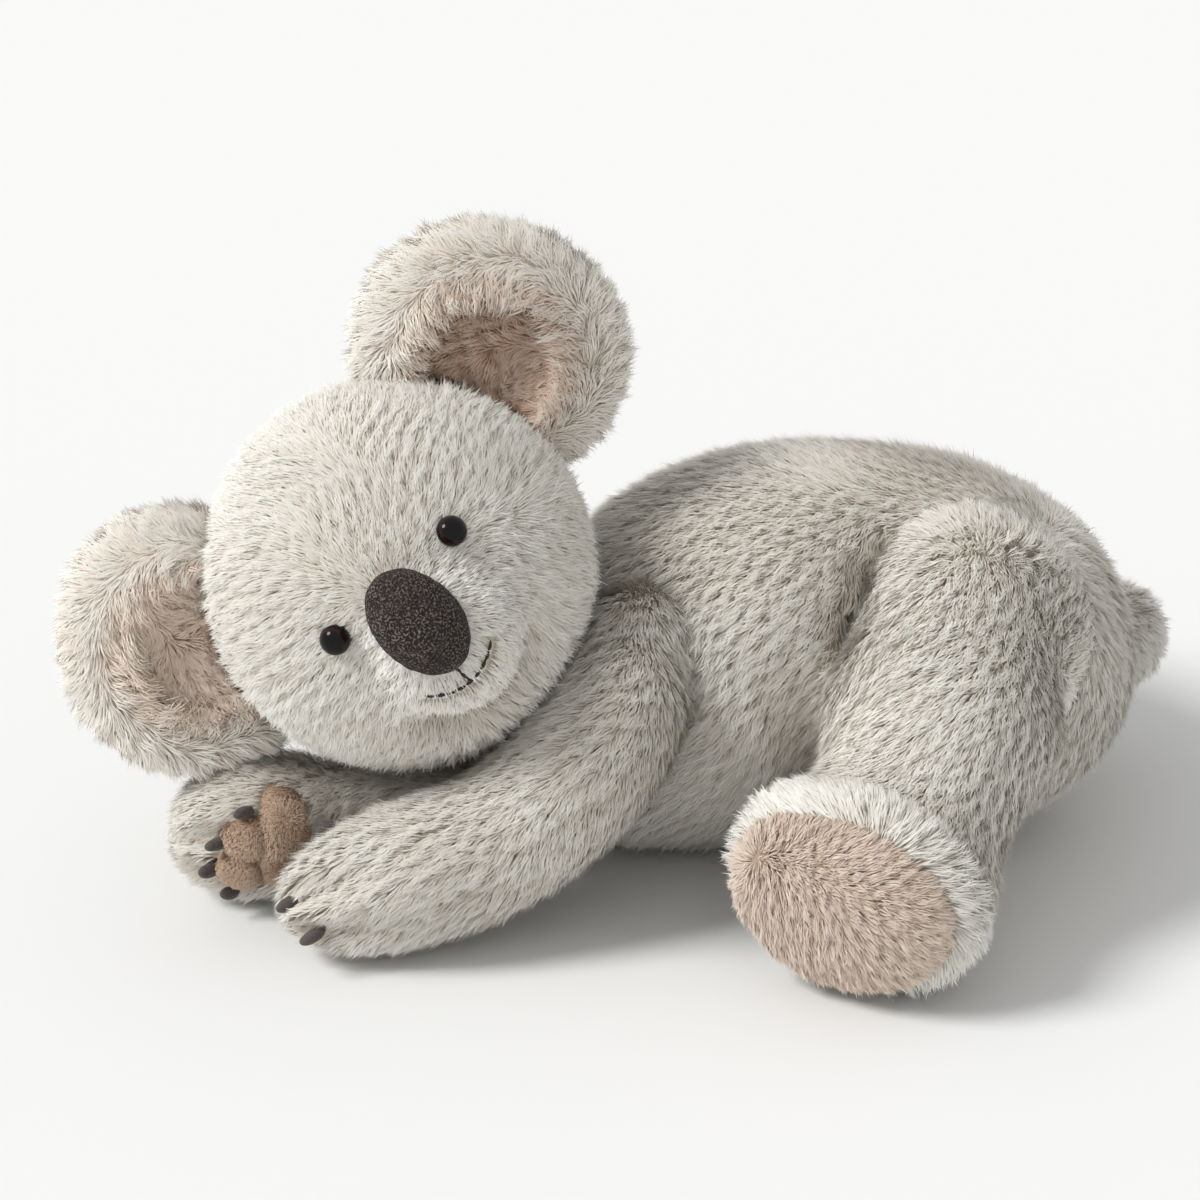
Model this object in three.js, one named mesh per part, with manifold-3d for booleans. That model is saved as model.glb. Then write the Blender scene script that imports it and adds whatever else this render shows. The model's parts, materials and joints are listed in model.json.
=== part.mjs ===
// A plush koala pillow lying on its belly, head rolled on to its folded arms.
// Millimetres, +Z up, +X towards the rump, -Y towards the face.
import * as THREE from "three";
import { mergeVertices } from "three/addons/utils/BufferGeometryUtils.js";
import Module from "manifold-3d";

// Cloth and seams
const coverWall = 5; // backing cloth with its pile pressed flat
const seamGap = 0.4; // clearance between neighbouring pieces
const stuffingHole = 15; // radius of the opening that each bag is filled through
const padThickness = 2; // short-pile patches on soles and palms
const floorReach = 600; // half width of the plane that flattens what rests on it
const eggFullness = 2; // roundness of a form's ends: 2 is an egg, higher is blunter

// Body bag
const bodyLength = 313;
const bodyMiddleX = 86;
const neckRadius = 86;
const bodyRadius = 93;
const rumpRadius = 99;
const neckFullness = 2.4;
const rumpFullness = 2.8;
const bellyFlat = 7; // how far its own weight flattens the belly
const neckDrop = 22; // spine heights below the middle of the body
const chestDrop = 12.5;
const haunchDrop = 6.7;
const rumpDrop = 28;
const neckForward = 12;
const neckHoleShare = 0.35; // where the holes inside point, as shares of the body's length
const limbHoleShare = 0.5;
const headHoleShare = 0.2;

// Where the limbs are sewn on: share of the body's length, degrees round from the top to the front,
// and how deep the middle of the root lies
const leftShoulderShare = 0.27;
const leftShoulderDegrees = 57;
const leftShoulderDepth = 8;
const rightShoulderShare = 0.145;
const rightShoulderDegrees = 136;
const rightShoulderDepth = 17;
const hipShare = 0.715;
const leftHipDegrees = 61;
const rightHipDegrees = -80;
const hipDepth = 25;
const tailShare = 0.945;
const tailDegrees = -84;
const tailDepth = 9;

// Head ball, turned to the front and rolled to its right
const headRadius = 84.5;
const headCentre = new THREE.Vector3(-85.5, -60, 145.5);
const facing = new THREE.Vector3(0.166, -0.972, 0.165).normalize();
const headUp = new THREE.Vector3(-0.661, 0.014, 0.75).projectOnPlane(facing).normalize();
const headLeft = new THREE.Vector3().crossVectors(headUp, facing);
const muzzleRise = 8;
const muzzlePitch = -13; // degrees below the nose line
const muzzleSpread = 24; // degrees

// Face
const eyeRadius = 6.5;
const eyeStand = 2.3; // how far the middle of an eye stands out of the face
const eyeYaw = 23.5;
const eyePitch = 10.8;
const eyeStemRadius = 1.8;
const eyeStemLength = 15;
const washerRadius = 7.5;
const washerThickness = 1.8;
const washerDepth = 10; // below the face, clear of the cloth
const eyeStemRoom = 2; // space left in the filling behind a stem
const noseHalfWidth = 20;
const noseHalfHeight = 25;
const noseDepth = 30;
const noseWall = 2;
const noseHole = 6.7; // radius of the opening at the back of the nose
const noseHoleReach = 5;
const threadRadius = 1.3;
const threadSteps = 12;
const threadSides = 4;
const mouthTopPitch = -17;
const mouthPitch = -24;
const smileYaw = 12.5;
const smileRise = 5; // degrees that the mouth's corners stand above its middle

// Ears, cupped discs on the sides of the head
const earSide = 93;
const earUp = 41;
const earBack = 12;
const earHalfWidth = 61;
const earHalfHeight = 56;
const earDepth = 50;
const earFullness = 2.4;
const dishHalfWidth = 32;
const dishHalfHeight = 31;
const dishDepth = 56;
const dishForward = 16;
const dishInward = 7;
const liningThickness = 3;
const earFold = 15; // degrees each way
const pawRoom = 1.6; // clearance that lets the paw roll under the lower ear

// Arms
const leftShoulderBall = 27;
const leftArmRadius = 33;
const leftPawRadius = 34;
const leftArmRoute = [[-13, -33, -30], [-53, -52, -71], [-150, -73, -94]]; // from the shoulder
const rightShoulderBall = 27;
const rightArmRadius = 25;
const rightPawRadius = 37;
const rightArmRoute = [[-157, -46, 0]];
const limbFullness = 3.5;
const clawRadius = 3.6;
const clawLength = 15;
const clawSink = 8; // how far a claw's base reaches back into the paw
const palmPadRadius = 11;
const fingerPadRadius = 7;
const armLift = 35; // degrees that the upper arm swings out from under the chin
const armLiftAxis = new THREE.Vector3(-0.64, 0.22, 0.735).normalize();
const armRoll = 20; // degrees that the lower arm rolls each way on its seam

// Legs
const legLift = 30; // degrees
const legLiftAxis = new THREE.Vector3(1, 0, 0);
const legRoute = [[6, 40], [36, 76], [63, 122]]; // forward and out from the hip
const legDropShares = [0.36, 0.85, 1]; // how far down the hip's height each of those places is
const hipBall = 51;
const thighRadius = 50;
const footRadius = 65;
const footFullness = 5;
const footSquat = 0.78; // height of the foot over its width
const soleWidth = 48;
const footFlat = 10; // how far the foot sinks into what it stands on

// Tail
const tailBall = 20;
const tailRadius = 24;
const tailLength = 40;
const tailFullness = 2.6;
const tailDirection = new THREE.Vector3(0.9, 0.43, 0.05).normalize();
const tailAxis = new THREE.Vector3(0, 0, 1);
const tailWag = 15; // degrees each way

// Facets around and along each form, and how much coarser the inside is
const bodyFacets = [20, 13];
const headFacets = [20, 13];
const limbFacets = [14, 11];
const earFacets = [14, 7];
const tailFacets = [10, 6];
const noseFacets = [12, 7];
const clawFacets = [6, 4];
const ballFacets = [12, 8];
const headSeatFacets = [16, 10];
const holeFacets = 8;
const insideDetail = 0.55;
const weldDistance = 1e-4;

const wasm = await Module();
wasm.setup();

// A closed geometry as a solid that can be joined and cut
function toSolid(geometry) {
  const bare = geometry.clone();
  bare.deleteAttribute("normal");
  bare.deleteAttribute("uv");
  const merged = mergeVertices(bare, weldDistance);
  const vertProperties = new Float32Array(merged.attributes.position.array);
  const triVerts = new Uint32Array(merged.index.array);
  return new wasm.Manifold(new wasm.Mesh({ numProp: 3, vertProperties, triVerts }));
}

// A solid back as a flat-shaded geometry
function toGeometry(solid) {
  const mesh = solid.getMesh();
  const geometry = new THREE.BufferGeometry();
  geometry.setAttribute("position", new THREE.BufferAttribute(new Float32Array(mesh.vertProperties), 3));
  geometry.setIndex(new THREE.BufferAttribute(new Uint32Array(mesh.triVerts), 1));
  const flat = geometry.toNonIndexed();
  flat.computeVertexNormals();
  return flat;
}

// Radius of a form at a place along its spine, rounded off at both ends
function swell(form, u) {
  const fullness = u < 0.5 ? form.rootFullness : form.tipFullness;
  const rounding = Math.sqrt(Math.max(0, 1 - Math.abs(2 * u - 1) ** fullness));
  return form.taper.getPoint(u).y * rounding;
}

// A form: a spine through the given points with radii spread evenly along it
function makeForm(given) {
  const { spine, radii } = given;
  const straight = spine.length === 2;
  return {
    rootFullness: eggFullness,
    tipFullness: eggFullness,
    squat: 1,
    up: new THREE.Vector3(0, 0, 1),
    curve: straight ? new THREE.LineCurve3(...spine) : new THREE.CatmullRomCurve3(spine),
    taper: new THREE.SplineCurve(radii.map((radius, i) => new THREE.Vector2(i, radius))),
    ...given,
  };
}

// The form's skin at a depth below its surface: a unit sphere carried along the spine
function stuffed(form, depth = 0, detail = 1) {
  const sphere = new THREE.SphereGeometry(1, ...coarser(form.facets, detail));
  sphere.deleteAttribute("normal");
  sphere.deleteAttribute("uv");
  const skin = mergeVertices(sphere, weldDistance);
  const points = skin.attributes.position;
  const point = new THREE.Vector3();
  for (let i = 0; i < points.count; i += 1) {
    point.fromBufferAttribute(points, i);
    const u = THREE.MathUtils.clamp((1 - point.y) / 2, 0, 1);
    const centre = form.curve.getPointAt(u);
    const tangent = form.curve.getTangentAt(u);
    const side = new THREE.Vector3().crossVectors(tangent, form.up).normalize();
    const over = new THREE.Vector3().crossVectors(tangent, side);
    const spread = Math.hypot(point.x, point.z) || 1;
    const radius = swell(form, u);
    centre.addScaledVector(side, (radius * point.x) / spread);
    centre.addScaledVector(over, (radius * form.squat * point.z) / spread);
    if (form.bulge) {
      const outward = centre.clone().sub(form.bulge.centre).normalize();
      const angle = THREE.MathUtils.radToDeg(outward.angleTo(form.bulge.direction));
      centre.addScaledVector(outward, form.bulge.rise * Math.exp(-((angle / form.bulge.spread) ** 2)));
    }
    points.setXYZ(i, centre.x, centre.y, centre.z);
  }
  skin.computeVertexNormals();
  const normal = new THREE.Vector3();
  for (let i = 0; i < points.count; i += 1) {
    normal.fromBufferAttribute(skin.attributes.normal, i);
    point.fromBufferAttribute(points, i).addScaledVector(normal, -depth);
    points.setXYZ(i, point.x, point.y, point.z);
  }
  return toSolid(skin);
}

const coarser = (facets, detail) => facets.map((count) => Math.round(count * detail));

function ballAt(centre, radius, facets) {
  const sphere = new THREE.SphereGeometry(radius, facets[0], facets[1]);
  return toSolid(sphere.translate(centre.x, centre.y, centre.z));
}

// A round seat that a ball of the given radius turns in: its flats, not its corners, clear the ball
function seatAt(centre, radius, facets) {
  const flats = Math.cos(Math.PI / facets[0]) * Math.cos(Math.PI / (2 * facets[1]));
  return ballAt(centre, radius / flats, facets);
}

// A round rod from one point to another
function rodBetween(start, end, radius) {
  const axis = new THREE.Vector3().subVectors(end, start);
  const rod = new THREE.CylinderGeometry(radius, radius, axis.length(), holeFacets);
  const turn = new THREE.Quaternion().setFromUnitVectors(new THREE.Vector3(0, 1, 0), axis.normalize());
  const middle = new THREE.Vector3().addVectors(start, end).multiplyScalar(0.5);
  return toSolid(rod.applyQuaternion(turn).translate(middle.x, middle.y, middle.z));
}

// Everything below the resting plane, raised by a depth
function floorBelow(depth = 0) {
  const block = new THREE.BoxGeometry(2 * floorReach, 2 * floorReach, floorReach);
  return toSolid(block.translate(0, 0, depth - floorReach / 2));
}

function turned(solid, pivot, axis, degrees) {
  const turn = new THREE.Matrix4().makeRotationAxis(axis, THREE.MathUtils.degToRad(degrees));
  const matrix = new THREE.Matrix4().makeTranslation(pivot.x, pivot.y, pivot.z);
  matrix.multiply(turn).multiply(new THREE.Matrix4().makeTranslation(-pivot.x, -pivot.y, -pivot.z));
  return solid.transform(matrix.elements);
}

// A cover with its filling: layer(depth, detail) gives the bag at a depth below its surface,
// and grown(height) gives it swollen by a height for what is sewn on to it
function bag(layer, opening, wall = coverWall) {
  const cover = layer(0, 1).subtract(layer(wall, insideDetail)).subtract(opening);
  const fill = layer(wall + seamGap, insideDetail);
  const grown = (height) => layer(-height, 1);
  return { cover, fill, grown };
}

const along = (start, direction, distance) => start.clone().addScaledVector(direction, distance);
const offset = (start, x, y, z) => start.clone().add(new THREE.Vector3(x, y, z));

// Body
const bellyHeight = bodyRadius - bellyFlat;
const bodyStep = bodyLength / 4;
const neckX = bodyMiddleX - bodyLength / 2;
const bodyForm = makeForm({
  spine: [
    new THREE.Vector3(neckX, -neckForward, bellyHeight - neckDrop),
    new THREE.Vector3(neckX + bodyStep, -neckForward / 4, bellyHeight - chestDrop),
    new THREE.Vector3(bodyMiddleX, 0, bellyHeight),
    new THREE.Vector3(bodyMiddleX + bodyStep, 0, bellyHeight - haunchDrop),
    new THREE.Vector3(bodyMiddleX + 2 * bodyStep, 0, bellyHeight - rumpDrop),
  ],
  radii: [neckRadius, bodyRadius, rumpRadius],
  facets: bodyFacets,
  rootFullness: neckFullness,
  tipFullness: rumpFullness,
});

// A place on the body: share of its length, degrees from the top towards the front, and depth
function bodySeat(share, degrees, sunk) {
  const angle = THREE.MathUtils.degToRad(degrees);
  const reach = swell(bodyForm, share) - sunk;
  return offset(bodyForm.curve.getPointAt(share), 0, -Math.sin(angle) * reach, Math.cos(angle) * reach);
}

const leftShoulder = bodySeat(leftShoulderShare, leftShoulderDegrees, leftShoulderDepth);
const rightShoulder = bodySeat(rightShoulderShare, rightShoulderDegrees, rightShoulderDepth);
const leftHip = bodySeat(hipShare, leftHipDegrees, hipDepth);
const rightHip = bodySeat(hipShare, rightHipDegrees, hipDepth);
const tailRoot = bodySeat(tailShare, tailDegrees, tailDepth);

// Head
const muzzleTilt = THREE.MathUtils.degToRad(muzzlePitch);
const muzzleDirection = facing.clone().multiplyScalar(Math.cos(muzzleTilt));
muzzleDirection.addScaledVector(headUp, Math.sin(muzzleTilt));
const headForm = makeForm({
  spine: [along(headCentre, facing, headRadius), along(headCentre, facing, -headRadius)],
  radii: [headRadius, headRadius],
  facets: headFacets,
  up: headUp,
  bulge: { centre: headCentre, direction: muzzleDirection, rise: muzzleRise, spread: muzzleSpread },
});

// Direction on the face from degrees towards the left ear and degrees up
function faceDirection(yaw, pitch) {
  const turn = THREE.MathUtils.degToRad(yaw);
  const tilt = THREE.MathUtils.degToRad(pitch);
  const direction = facing.clone().multiplyScalar(Math.cos(turn) * Math.cos(tilt));
  direction.addScaledVector(headLeft, Math.sin(turn) * Math.cos(tilt));
  return direction.addScaledVector(headUp, Math.sin(tilt));
}

// Point on the face, with the muzzle's rise, raised by a height
function facePoint(yaw, pitch, height) {
  const direction = faceDirection(yaw, pitch);
  const angle = THREE.MathUtils.radToDeg(direction.angleTo(muzzleDirection));
  const rise = muzzleRise * Math.exp(-((angle / muzzleSpread) ** 2));
  return along(headCentre, direction, headRadius + rise + height);
}

// Arms: a round root ball in the body, then a limb that swells to the paw
const leftArmForm = makeForm({
  spine: [leftShoulder, ...leftArmRoute.map((step) => offset(leftShoulder, ...step))],
  radii: [leftArmRadius, leftArmRadius, leftArmRadius, leftPawRadius, leftPawRadius],
  facets: limbFacets,
  rootFullness: limbFullness,
  tipFullness: limbFullness,
});
const rightArmForm = makeForm({
  spine: [rightShoulder, ...rightArmRoute.map((step) => offset(rightShoulder, ...step))],
  radii: [rightArmRadius, rightArmRadius, rightArmRadius, rightPawRadius, rightPawRadius],
  facets: limbFacets,
  rootFullness: limbFullness,
  tipFullness: limbFullness,
});

// Legs: a hip ball, a thick shin and a foot that ends in a blunt sole
function legForm(hip, towards) {
  const drop = hip.z - (footRadius * footSquat - footFlat);
  const places = legRoute.map(([forward, out], i) => {
    return offset(hip, -forward, towards * out, -legDropShares[i] * drop);
  });
  return makeForm({
    spine: [hip, ...places],
    radii: [thighRadius, thighRadius, thighRadius, footRadius, footRadius],
    facets: limbFacets,
    rootFullness: limbFullness,
    tipFullness: footFullness,
    squat: footSquat,
  });
}
const leftLegForm = legForm(leftHip, -1);
const rightLegForm = legForm(rightHip, 1);

// Tail
const tailForm = makeForm({
  spine: [tailRoot, along(tailRoot, tailDirection, tailLength)],
  radii: [tailRadius, tailRadius],
  facets: tailFacets,
  rootFullness: tailFullness,
  tipFullness: tailFullness,
});

// Where each limb turns: the centre and radius of its root ball, the axis and the swing in degrees
const swingOut = (lift) => [0, lift / 2, lift];
const swingBoth = (turn) => [-turn, 0, turn];
const leftArmRoot = {
  centre: leftShoulder,
  radius: leftShoulderBall,
  axis: armLiftAxis,
  swing: swingOut(armLift),
  meetsHead: true,
};
const rightArmRoot = {
  centre: rightShoulder,
  radius: rightShoulderBall,
  axis: rightArmForm.curve.getTangentAt(0),
  swing: swingBoth(armRoll),
  meetsHead: true,
};
const leftLegRoot = {
  centre: leftHip,
  radius: hipBall,
  axis: legLiftAxis.clone().negate(),
  swing: swingOut(legLift),
};
const rightLegRoot = {
  centre: rightHip,
  radius: hipBall,
  axis: legLiftAxis,
  swing: swingOut(legLift),
};
const tailSeat = {
  centre: tailRoot,
  radius: tailBall,
  axis: tailAxis,
  swing: swingBoth(tailWag),
};
const limbRoots = [leftArmRoot, rightArmRoot, leftLegRoot, rightLegRoot, tailSeat];

function headSeat(depth, detail) {
  return seatAt(headCentre, headRadius + seamGap + depth, coarser(headSeatFacets, detail));
}

const body = bag((depth, detail) => {
  let solid = stuffed(bodyForm, depth, detail).subtract(headSeat(depth, detail));
  for (const root of limbRoots) {
    const seatRadius = root.radius + seamGap + depth;
    solid = solid.subtract(seatAt(root.centre, seatRadius, coarser(ballFacets, detail)));
  }
  return solid.subtract(floorBelow(depth));
}, rodBetween(headCentre, bodyForm.curve.getPointAt(neckHoleShare), stuffingHole));

// A limb: its length is trimmed by the body, the head and the floor wherever its swing takes it
function limb(form, root) {
  const holeEnd = bodyForm.curve.getPointAt(limbHoleShare);
  const hole = rodBetween(root.centre, holeEnd, Math.min(stuffingHole, root.radius / 2));
  const trimmed = (solid, larger) => root.swing.reduce((left, degrees) => {
    return left.subtract(turned(larger, root.centre, root.axis, -degrees));
  }, solid);
  return bag((depth, detail) => {
    let solid = trimmed(stuffed(form, depth, detail), stuffed(bodyForm, -seamGap - depth, detail));
    solid = solid.add(ballAt(root.centre, root.radius - depth, coarser(ballFacets, detail)));
    if (root.meetsHead) {
      solid = trimmed(solid, headSeat(depth, detail));
    }
    return solid.subtract(floorBelow(depth));
  }, hole);
}
const leftArm = limb(leftArmForm, leftArmRoot);
const rightArm = limb(rightArmForm, rightArmRoot);
const leftLeg = limb(leftLegForm, leftLegRoot);
const rightLeg = limb(rightLegForm, rightLegRoot);
const tail = limb(tailForm, tailSeat);

// Head bag, open at the neck, with a hole for each eye's stem
const neckPoint = bodyForm.curve.getPointAt(headHoleShare);
const head = bag(
  (depth, detail) => stuffed(headForm, depth, detail),
  rodBetween(headCentre, neckPoint, stuffingHole),
);

// Safety eyes: a domed button with a stem, held by a washer behind the cloth
function eye(yaw) {
  const surface = facePoint(yaw, eyePitch, 0);
  const direction = faceDirection(yaw, eyePitch);
  const stemEnd = along(surface, direction, -eyeStemLength);
  const washerTop = along(surface, direction, -washerDepth);
  const washerFoot = along(washerTop, direction, -washerThickness);
  const pocketEnd = along(stemEnd, direction, -eyeStemRoom);
  const middle = along(surface, direction, eyeStand);
  const dome = ballAt(middle, eyeRadius, ballFacets).subtract(stuffed(headForm, -seamGap));
  const stem = rodBetween(middle, stemEnd, eyeStemRadius);
  const hole = rodBetween(along(middle, direction, eyeRadius), pocketEnd, eyeStemRadius + seamGap);
  const pocket = rodBetween(surface, pocketEnd, washerRadius + seamGap);
  return {
    button: dome.add(stem),
    washer: rodBetween(washerTop, washerFoot, washerRadius).subtract(hole),
    hole,
    pocket,
  };
}
const leftEye = eye(eyeYaw);
const rightEye = eye(-eyeYaw);
head.cover = head.cover.subtract(leftEye.hole).subtract(rightEye.hole);
head.fill = head.fill.subtract(leftEye.pocket).subtract(rightEye.pocket);

// Nose: an egg of knitted cloth seated on the muzzle
const noseSeat = facePoint(0, 0, 0);
const noseForm = makeForm({
  spine: [along(noseSeat, facing, noseDepth / 2), along(noseSeat, facing, -noseDepth / 2)],
  radii: [noseHalfWidth, noseHalfWidth],
  facets: noseFacets,
  squat: noseHalfHeight / noseHalfWidth,
  up: headUp,
});
const nose = bag(
  (depth, detail) => stuffed(noseForm, depth, detail).subtract(stuffed(headForm, -seamGap - depth)),
  rodBetween(along(noseSeat, facing, noseHoleReach), headCentre, noseHole),
  noseWall,
);

// Mouth: a thread down from the nose and a smile across it
function thread(points) {
  const section = new THREE.Shape().absarc(0, 0, threadRadius, 0, 2 * Math.PI);
  const curve = new THREE.CatmullRomCurve3(points);
  const sides = { steps: threadSteps, curveSegments: threadSides, bevelEnabled: false, extrudePath: curve };
  return toSolid(new THREE.ExtrudeGeometry(section, sides));
}
const smilePoint = (share) => facePoint(share * smileYaw, mouthPitch + share * share * smileRise, 0);
const smile = thread([-1, -0.5, 0, 0.5, 1].map(smilePoint));
const philtrum = thread([
  facePoint(0, mouthTopPitch, 0),
  facePoint(0, (mouthTopPitch + mouthPitch) / 2, 0),
  facePoint(0, mouthPitch, 0),
]);
const mouth = smile.add(philtrum).subtract(stuffed(headForm, -seamGap));

// Ears: a soft disc with a dish in its front, and a lining that lies in the dish
function ear(sign, leansOn = null) {
  const outward = headLeft.clone().multiplyScalar(sign * earSide).addScaledVector(headUp, earUp).normalize();
  const centre = along(headCentre, headLeft, sign * earSide).addScaledVector(headUp, earUp);
  centre.addScaledVector(facing, -earBack);
  const across = new THREE.Vector3().crossVectors(facing, outward).normalize();
  const pivot = along(headCentre, outward, headRadius).addScaledVector(facing, -earBack);
  const discForm = makeForm({
    spine: [along(centre, facing, earDepth / 2), along(centre, facing, -earDepth / 2)],
    radii: [earHalfWidth, earHalfWidth],
    facets: earFacets,
    rootFullness: earFullness,
    tipFullness: earFullness,
    squat: earHalfHeight / earHalfWidth,
    up: outward,
  });
  const dishCentre = along(centre, facing, dishForward).addScaledVector(outward, -dishInward);
  const dishForm = makeForm({
    spine: [along(dishCentre, facing, dishDepth / 2), along(dishCentre, facing, -dishDepth / 2)],
    radii: [dishHalfWidth, dishHalfWidth],
    facets: earFacets,
    squat: dishHalfHeight / dishHalfWidth,
    up: outward,
  });
  let back = stuffed(discForm).subtract(stuffed(dishForm));
  let lining = stuffed(dishForm, seamGap).subtract(stuffed(dishForm, seamGap + liningThickness));
  lining = lining.intersect(stuffed(discForm, liningThickness));
  for (const share of [-1, -0.5, 0, 0.5, 1]) {
    let room = head.grown(seamGap);
    if (leansOn) {
      room = room.add(stuffed(leansOn, -pawRoom));
    }
    room = turned(room, pivot, across, share * earFold);
    back = back.subtract(room);
    lining = lining.subtract(room);
  }
  return { back, lining, pivot, across };
}
const leftEar = ear(1);
const rightEar = ear(-1, rightArmForm);

// Claws and pads are set out on a paw by the way that each one faces from the paw's middle
function paw(form, radius, arm, places) {
  const centre = form.curve.getPointAt(1 - radius / form.curve.getLength());
  const skin = arm.grown(seamGap);
  const claws = places.claws.map((facingWay) => {
    const direction = new THREE.Vector3(...facingWay).normalize();
    const base = along(centre, direction, radius - clawSink);
    const bend = along(base, direction, clawLength / 2);
    const point = along(bend, places.clawPoint, clawLength / 2);
    const clawForm = makeForm({
      spine: [base, bend, point],
      radii: [clawRadius, clawRadius, clawRadius / 2],
      facets: clawFacets,
    });
    return stuffed(clawForm).subtract(skin).subtract(floorBelow());
  });
  const patch = (facingWay, size) => {
    const outside = along(centre, new THREE.Vector3(...facingWay).normalize(), 2 * radius);
    const sheet = arm.grown(seamGap + padThickness).subtract(skin);
    return sheet.intersect(rodBetween(centre, outside, size)).subtract(floorBelow());
  };
  return {
    claws,
    palmPad: patch(places.palm, palmPadRadius),
    fingerPads: places.fingers.map((facingWay) => patch(facingWay, fingerPadRadius)),
  };
}
const leftPaw = paw(leftArmForm, leftPawRadius, leftArm, {
  claws: [[-0.52, -0.72, -0.3], [-0.88, -0.42, 0.02], [-0.83, 0.5, 0], [-0.4, 0.6, 0.7]],
  clawPoint: new THREE.Vector3(-0.85, -0.3, -0.4).normalize(),
  palm: [0.5, 0.8, -0.2],
  fingers: [[0.05, 0.8, 0.5], [-0.05, 0.8, -0.6]],
});
const rightPaw = paw(rightArmForm, rightPawRadius, rightArm, {
  claws: [[-0.12, -0.78, 0.62], [-0.5, -0.85, 0.17], [-0.62, -0.75, -0.25], [-0.35, -0.72, -0.6]],
  clawPoint: new THREE.Vector3(-0.1, -0.95, 0).normalize(),
  palm: [0.54, -0.79, 0.33],
  fingers: [[0, -0.97, 0.24], [-0.1, -0.97, -0.26]],
});

// Sole pads lie on the blunt ends of the feet
function solePad(form, leg) {
  const end = form.curve.getPointAt(1);
  const heel = along(end, form.curve.getTangentAt(1), -footRadius / 2);
  const front = along(end, form.curve.getTangentAt(1), footRadius / 2);
  const sheet = leg.grown(seamGap + padThickness).subtract(leg.grown(seamGap));
  return sheet.intersect(rodBetween(heel, front, soleWidth)).subtract(floorBelow(seamGap));
}
const leftSole = solePad(leftLegForm, leftLeg);
const rightSole = solePad(rightLegForm, rightLeg);

// Finishes
const finish = (color, roughness) => () => new THREE.MeshStandardMaterial({ color, roughness });
const greyPlush = finish(0xd6d1c8, 0.95);
const creamPlush = finish(0xe6ded2, 0.95);
const pinkPlush = finish(0xcfae9b, 0.95);
const solePlush = finish(0xdcc3b2, 0.9);
const palmSuede = finish(0xb3977c, 0.85);
const noseKnit = finish(0x4b413d, 0.9);
const clawFelt = finish(0x37302f, 0.7);
const eyeGloss = finish(0x1d1310, 0.1);
const clearPlastic = finish(0xe8e8e4, 0.4);
const blackThread = finish(0x1e1a19, 0.8);
const whiteFibre = finish(0xf4f3ef, 1);

// Each moving body is a group that sits at its pivot
const koala = new THREE.Group();
koala.name = "koala_pillow";
function bodyGroup(parent, pivot, origin = new THREE.Vector3()) {
  const group = new THREE.Group();
  group.position.subVectors(pivot, origin);
  group.userData.origin = pivot;
  parent.add(group);
  return group;
}
function addPiece(group, name, solid, material) {
  const geometry = toGeometry(solid);
  geometry.translate(-group.userData.origin.x, -group.userData.origin.y, -group.userData.origin.z);
  const mesh = new THREE.Mesh(geometry, material());
  mesh.name = name;
  group.add(mesh);
}
function addBag(group, name, bagged, material) {
  addPiece(group, `${name}_cover`, bagged.cover, material);
  addPiece(group, `${name}_fill`, bagged.fill, whiteFibre);
}

const bodyPart = bodyGroup(koala, new THREE.Vector3());
addBag(bodyPart, "body", body, greyPlush);

const headPart = bodyGroup(koala, headCentre);
addBag(headPart, "head", head, greyPlush);
addBag(headPart, "nose", nose, noseKnit);
addPiece(headPart, "mouth_stitching", mouth, blackThread);
for (const [side, one] of [["left", leftEye], ["right", rightEye]]) {
  addPiece(headPart, `${side}_eye`, one.button, eyeGloss);
  addPiece(headPart, `${side}_eye_washer`, one.washer, clearPlastic);
}
for (const [side, one] of [["left", leftEar], ["right", rightEar]]) {
  const earPart = bodyGroup(headPart, one.pivot, headCentre);
  addPiece(earPart, `${side}_ear_back`, one.back, creamPlush);
  addPiece(earPart, `${side}_ear_lining`, one.lining, pinkPlush);
}

const arms = [
  ["left", leftShoulder, leftArm, leftPaw],
  ["right", rightShoulder, rightArm, rightPaw],
];
for (const [side, shoulder, arm, hand] of arms) {
  const armPart = bodyGroup(koala, shoulder);
  addBag(armPart, `${side}_arm`, arm, greyPlush);
  addPiece(armPart, `${side}_palm_pad`, hand.palmPad, palmSuede);
  hand.fingerPads.forEach((pad, i) => addPiece(armPart, `${side}_finger_pad_${i + 1}`, pad, palmSuede));
  hand.claws.forEach((claw, i) => addPiece(armPart, `${side}_claw_${i + 1}`, claw, clawFelt));
}

const legs = [
  ["left", leftHip, leftLeg, leftSole],
  ["right", rightHip, rightLeg, rightSole],
];
for (const [side, hip, leg, sole] of legs) {
  const legPart = bodyGroup(koala, hip);
  addBag(legPart, `${side}_leg`, leg, greyPlush);
  addPiece(legPart, `${side}_sole_pad`, sole, solePlush);
}

const tailPart = bodyGroup(koala, tailRoot);
addBag(tailPart, "tail", tail, greyPlush);

// The origin is under the middle of the whole toy, on the surface that it lies on
const box = new THREE.Box3().setFromObject(koala);
koala.position.set(-(box.min.x + box.max.x) / 2, -(box.min.y + box.max.y) / 2, -box.min.z);
koala.updateMatrixWorld(true);

export default koala;
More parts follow.
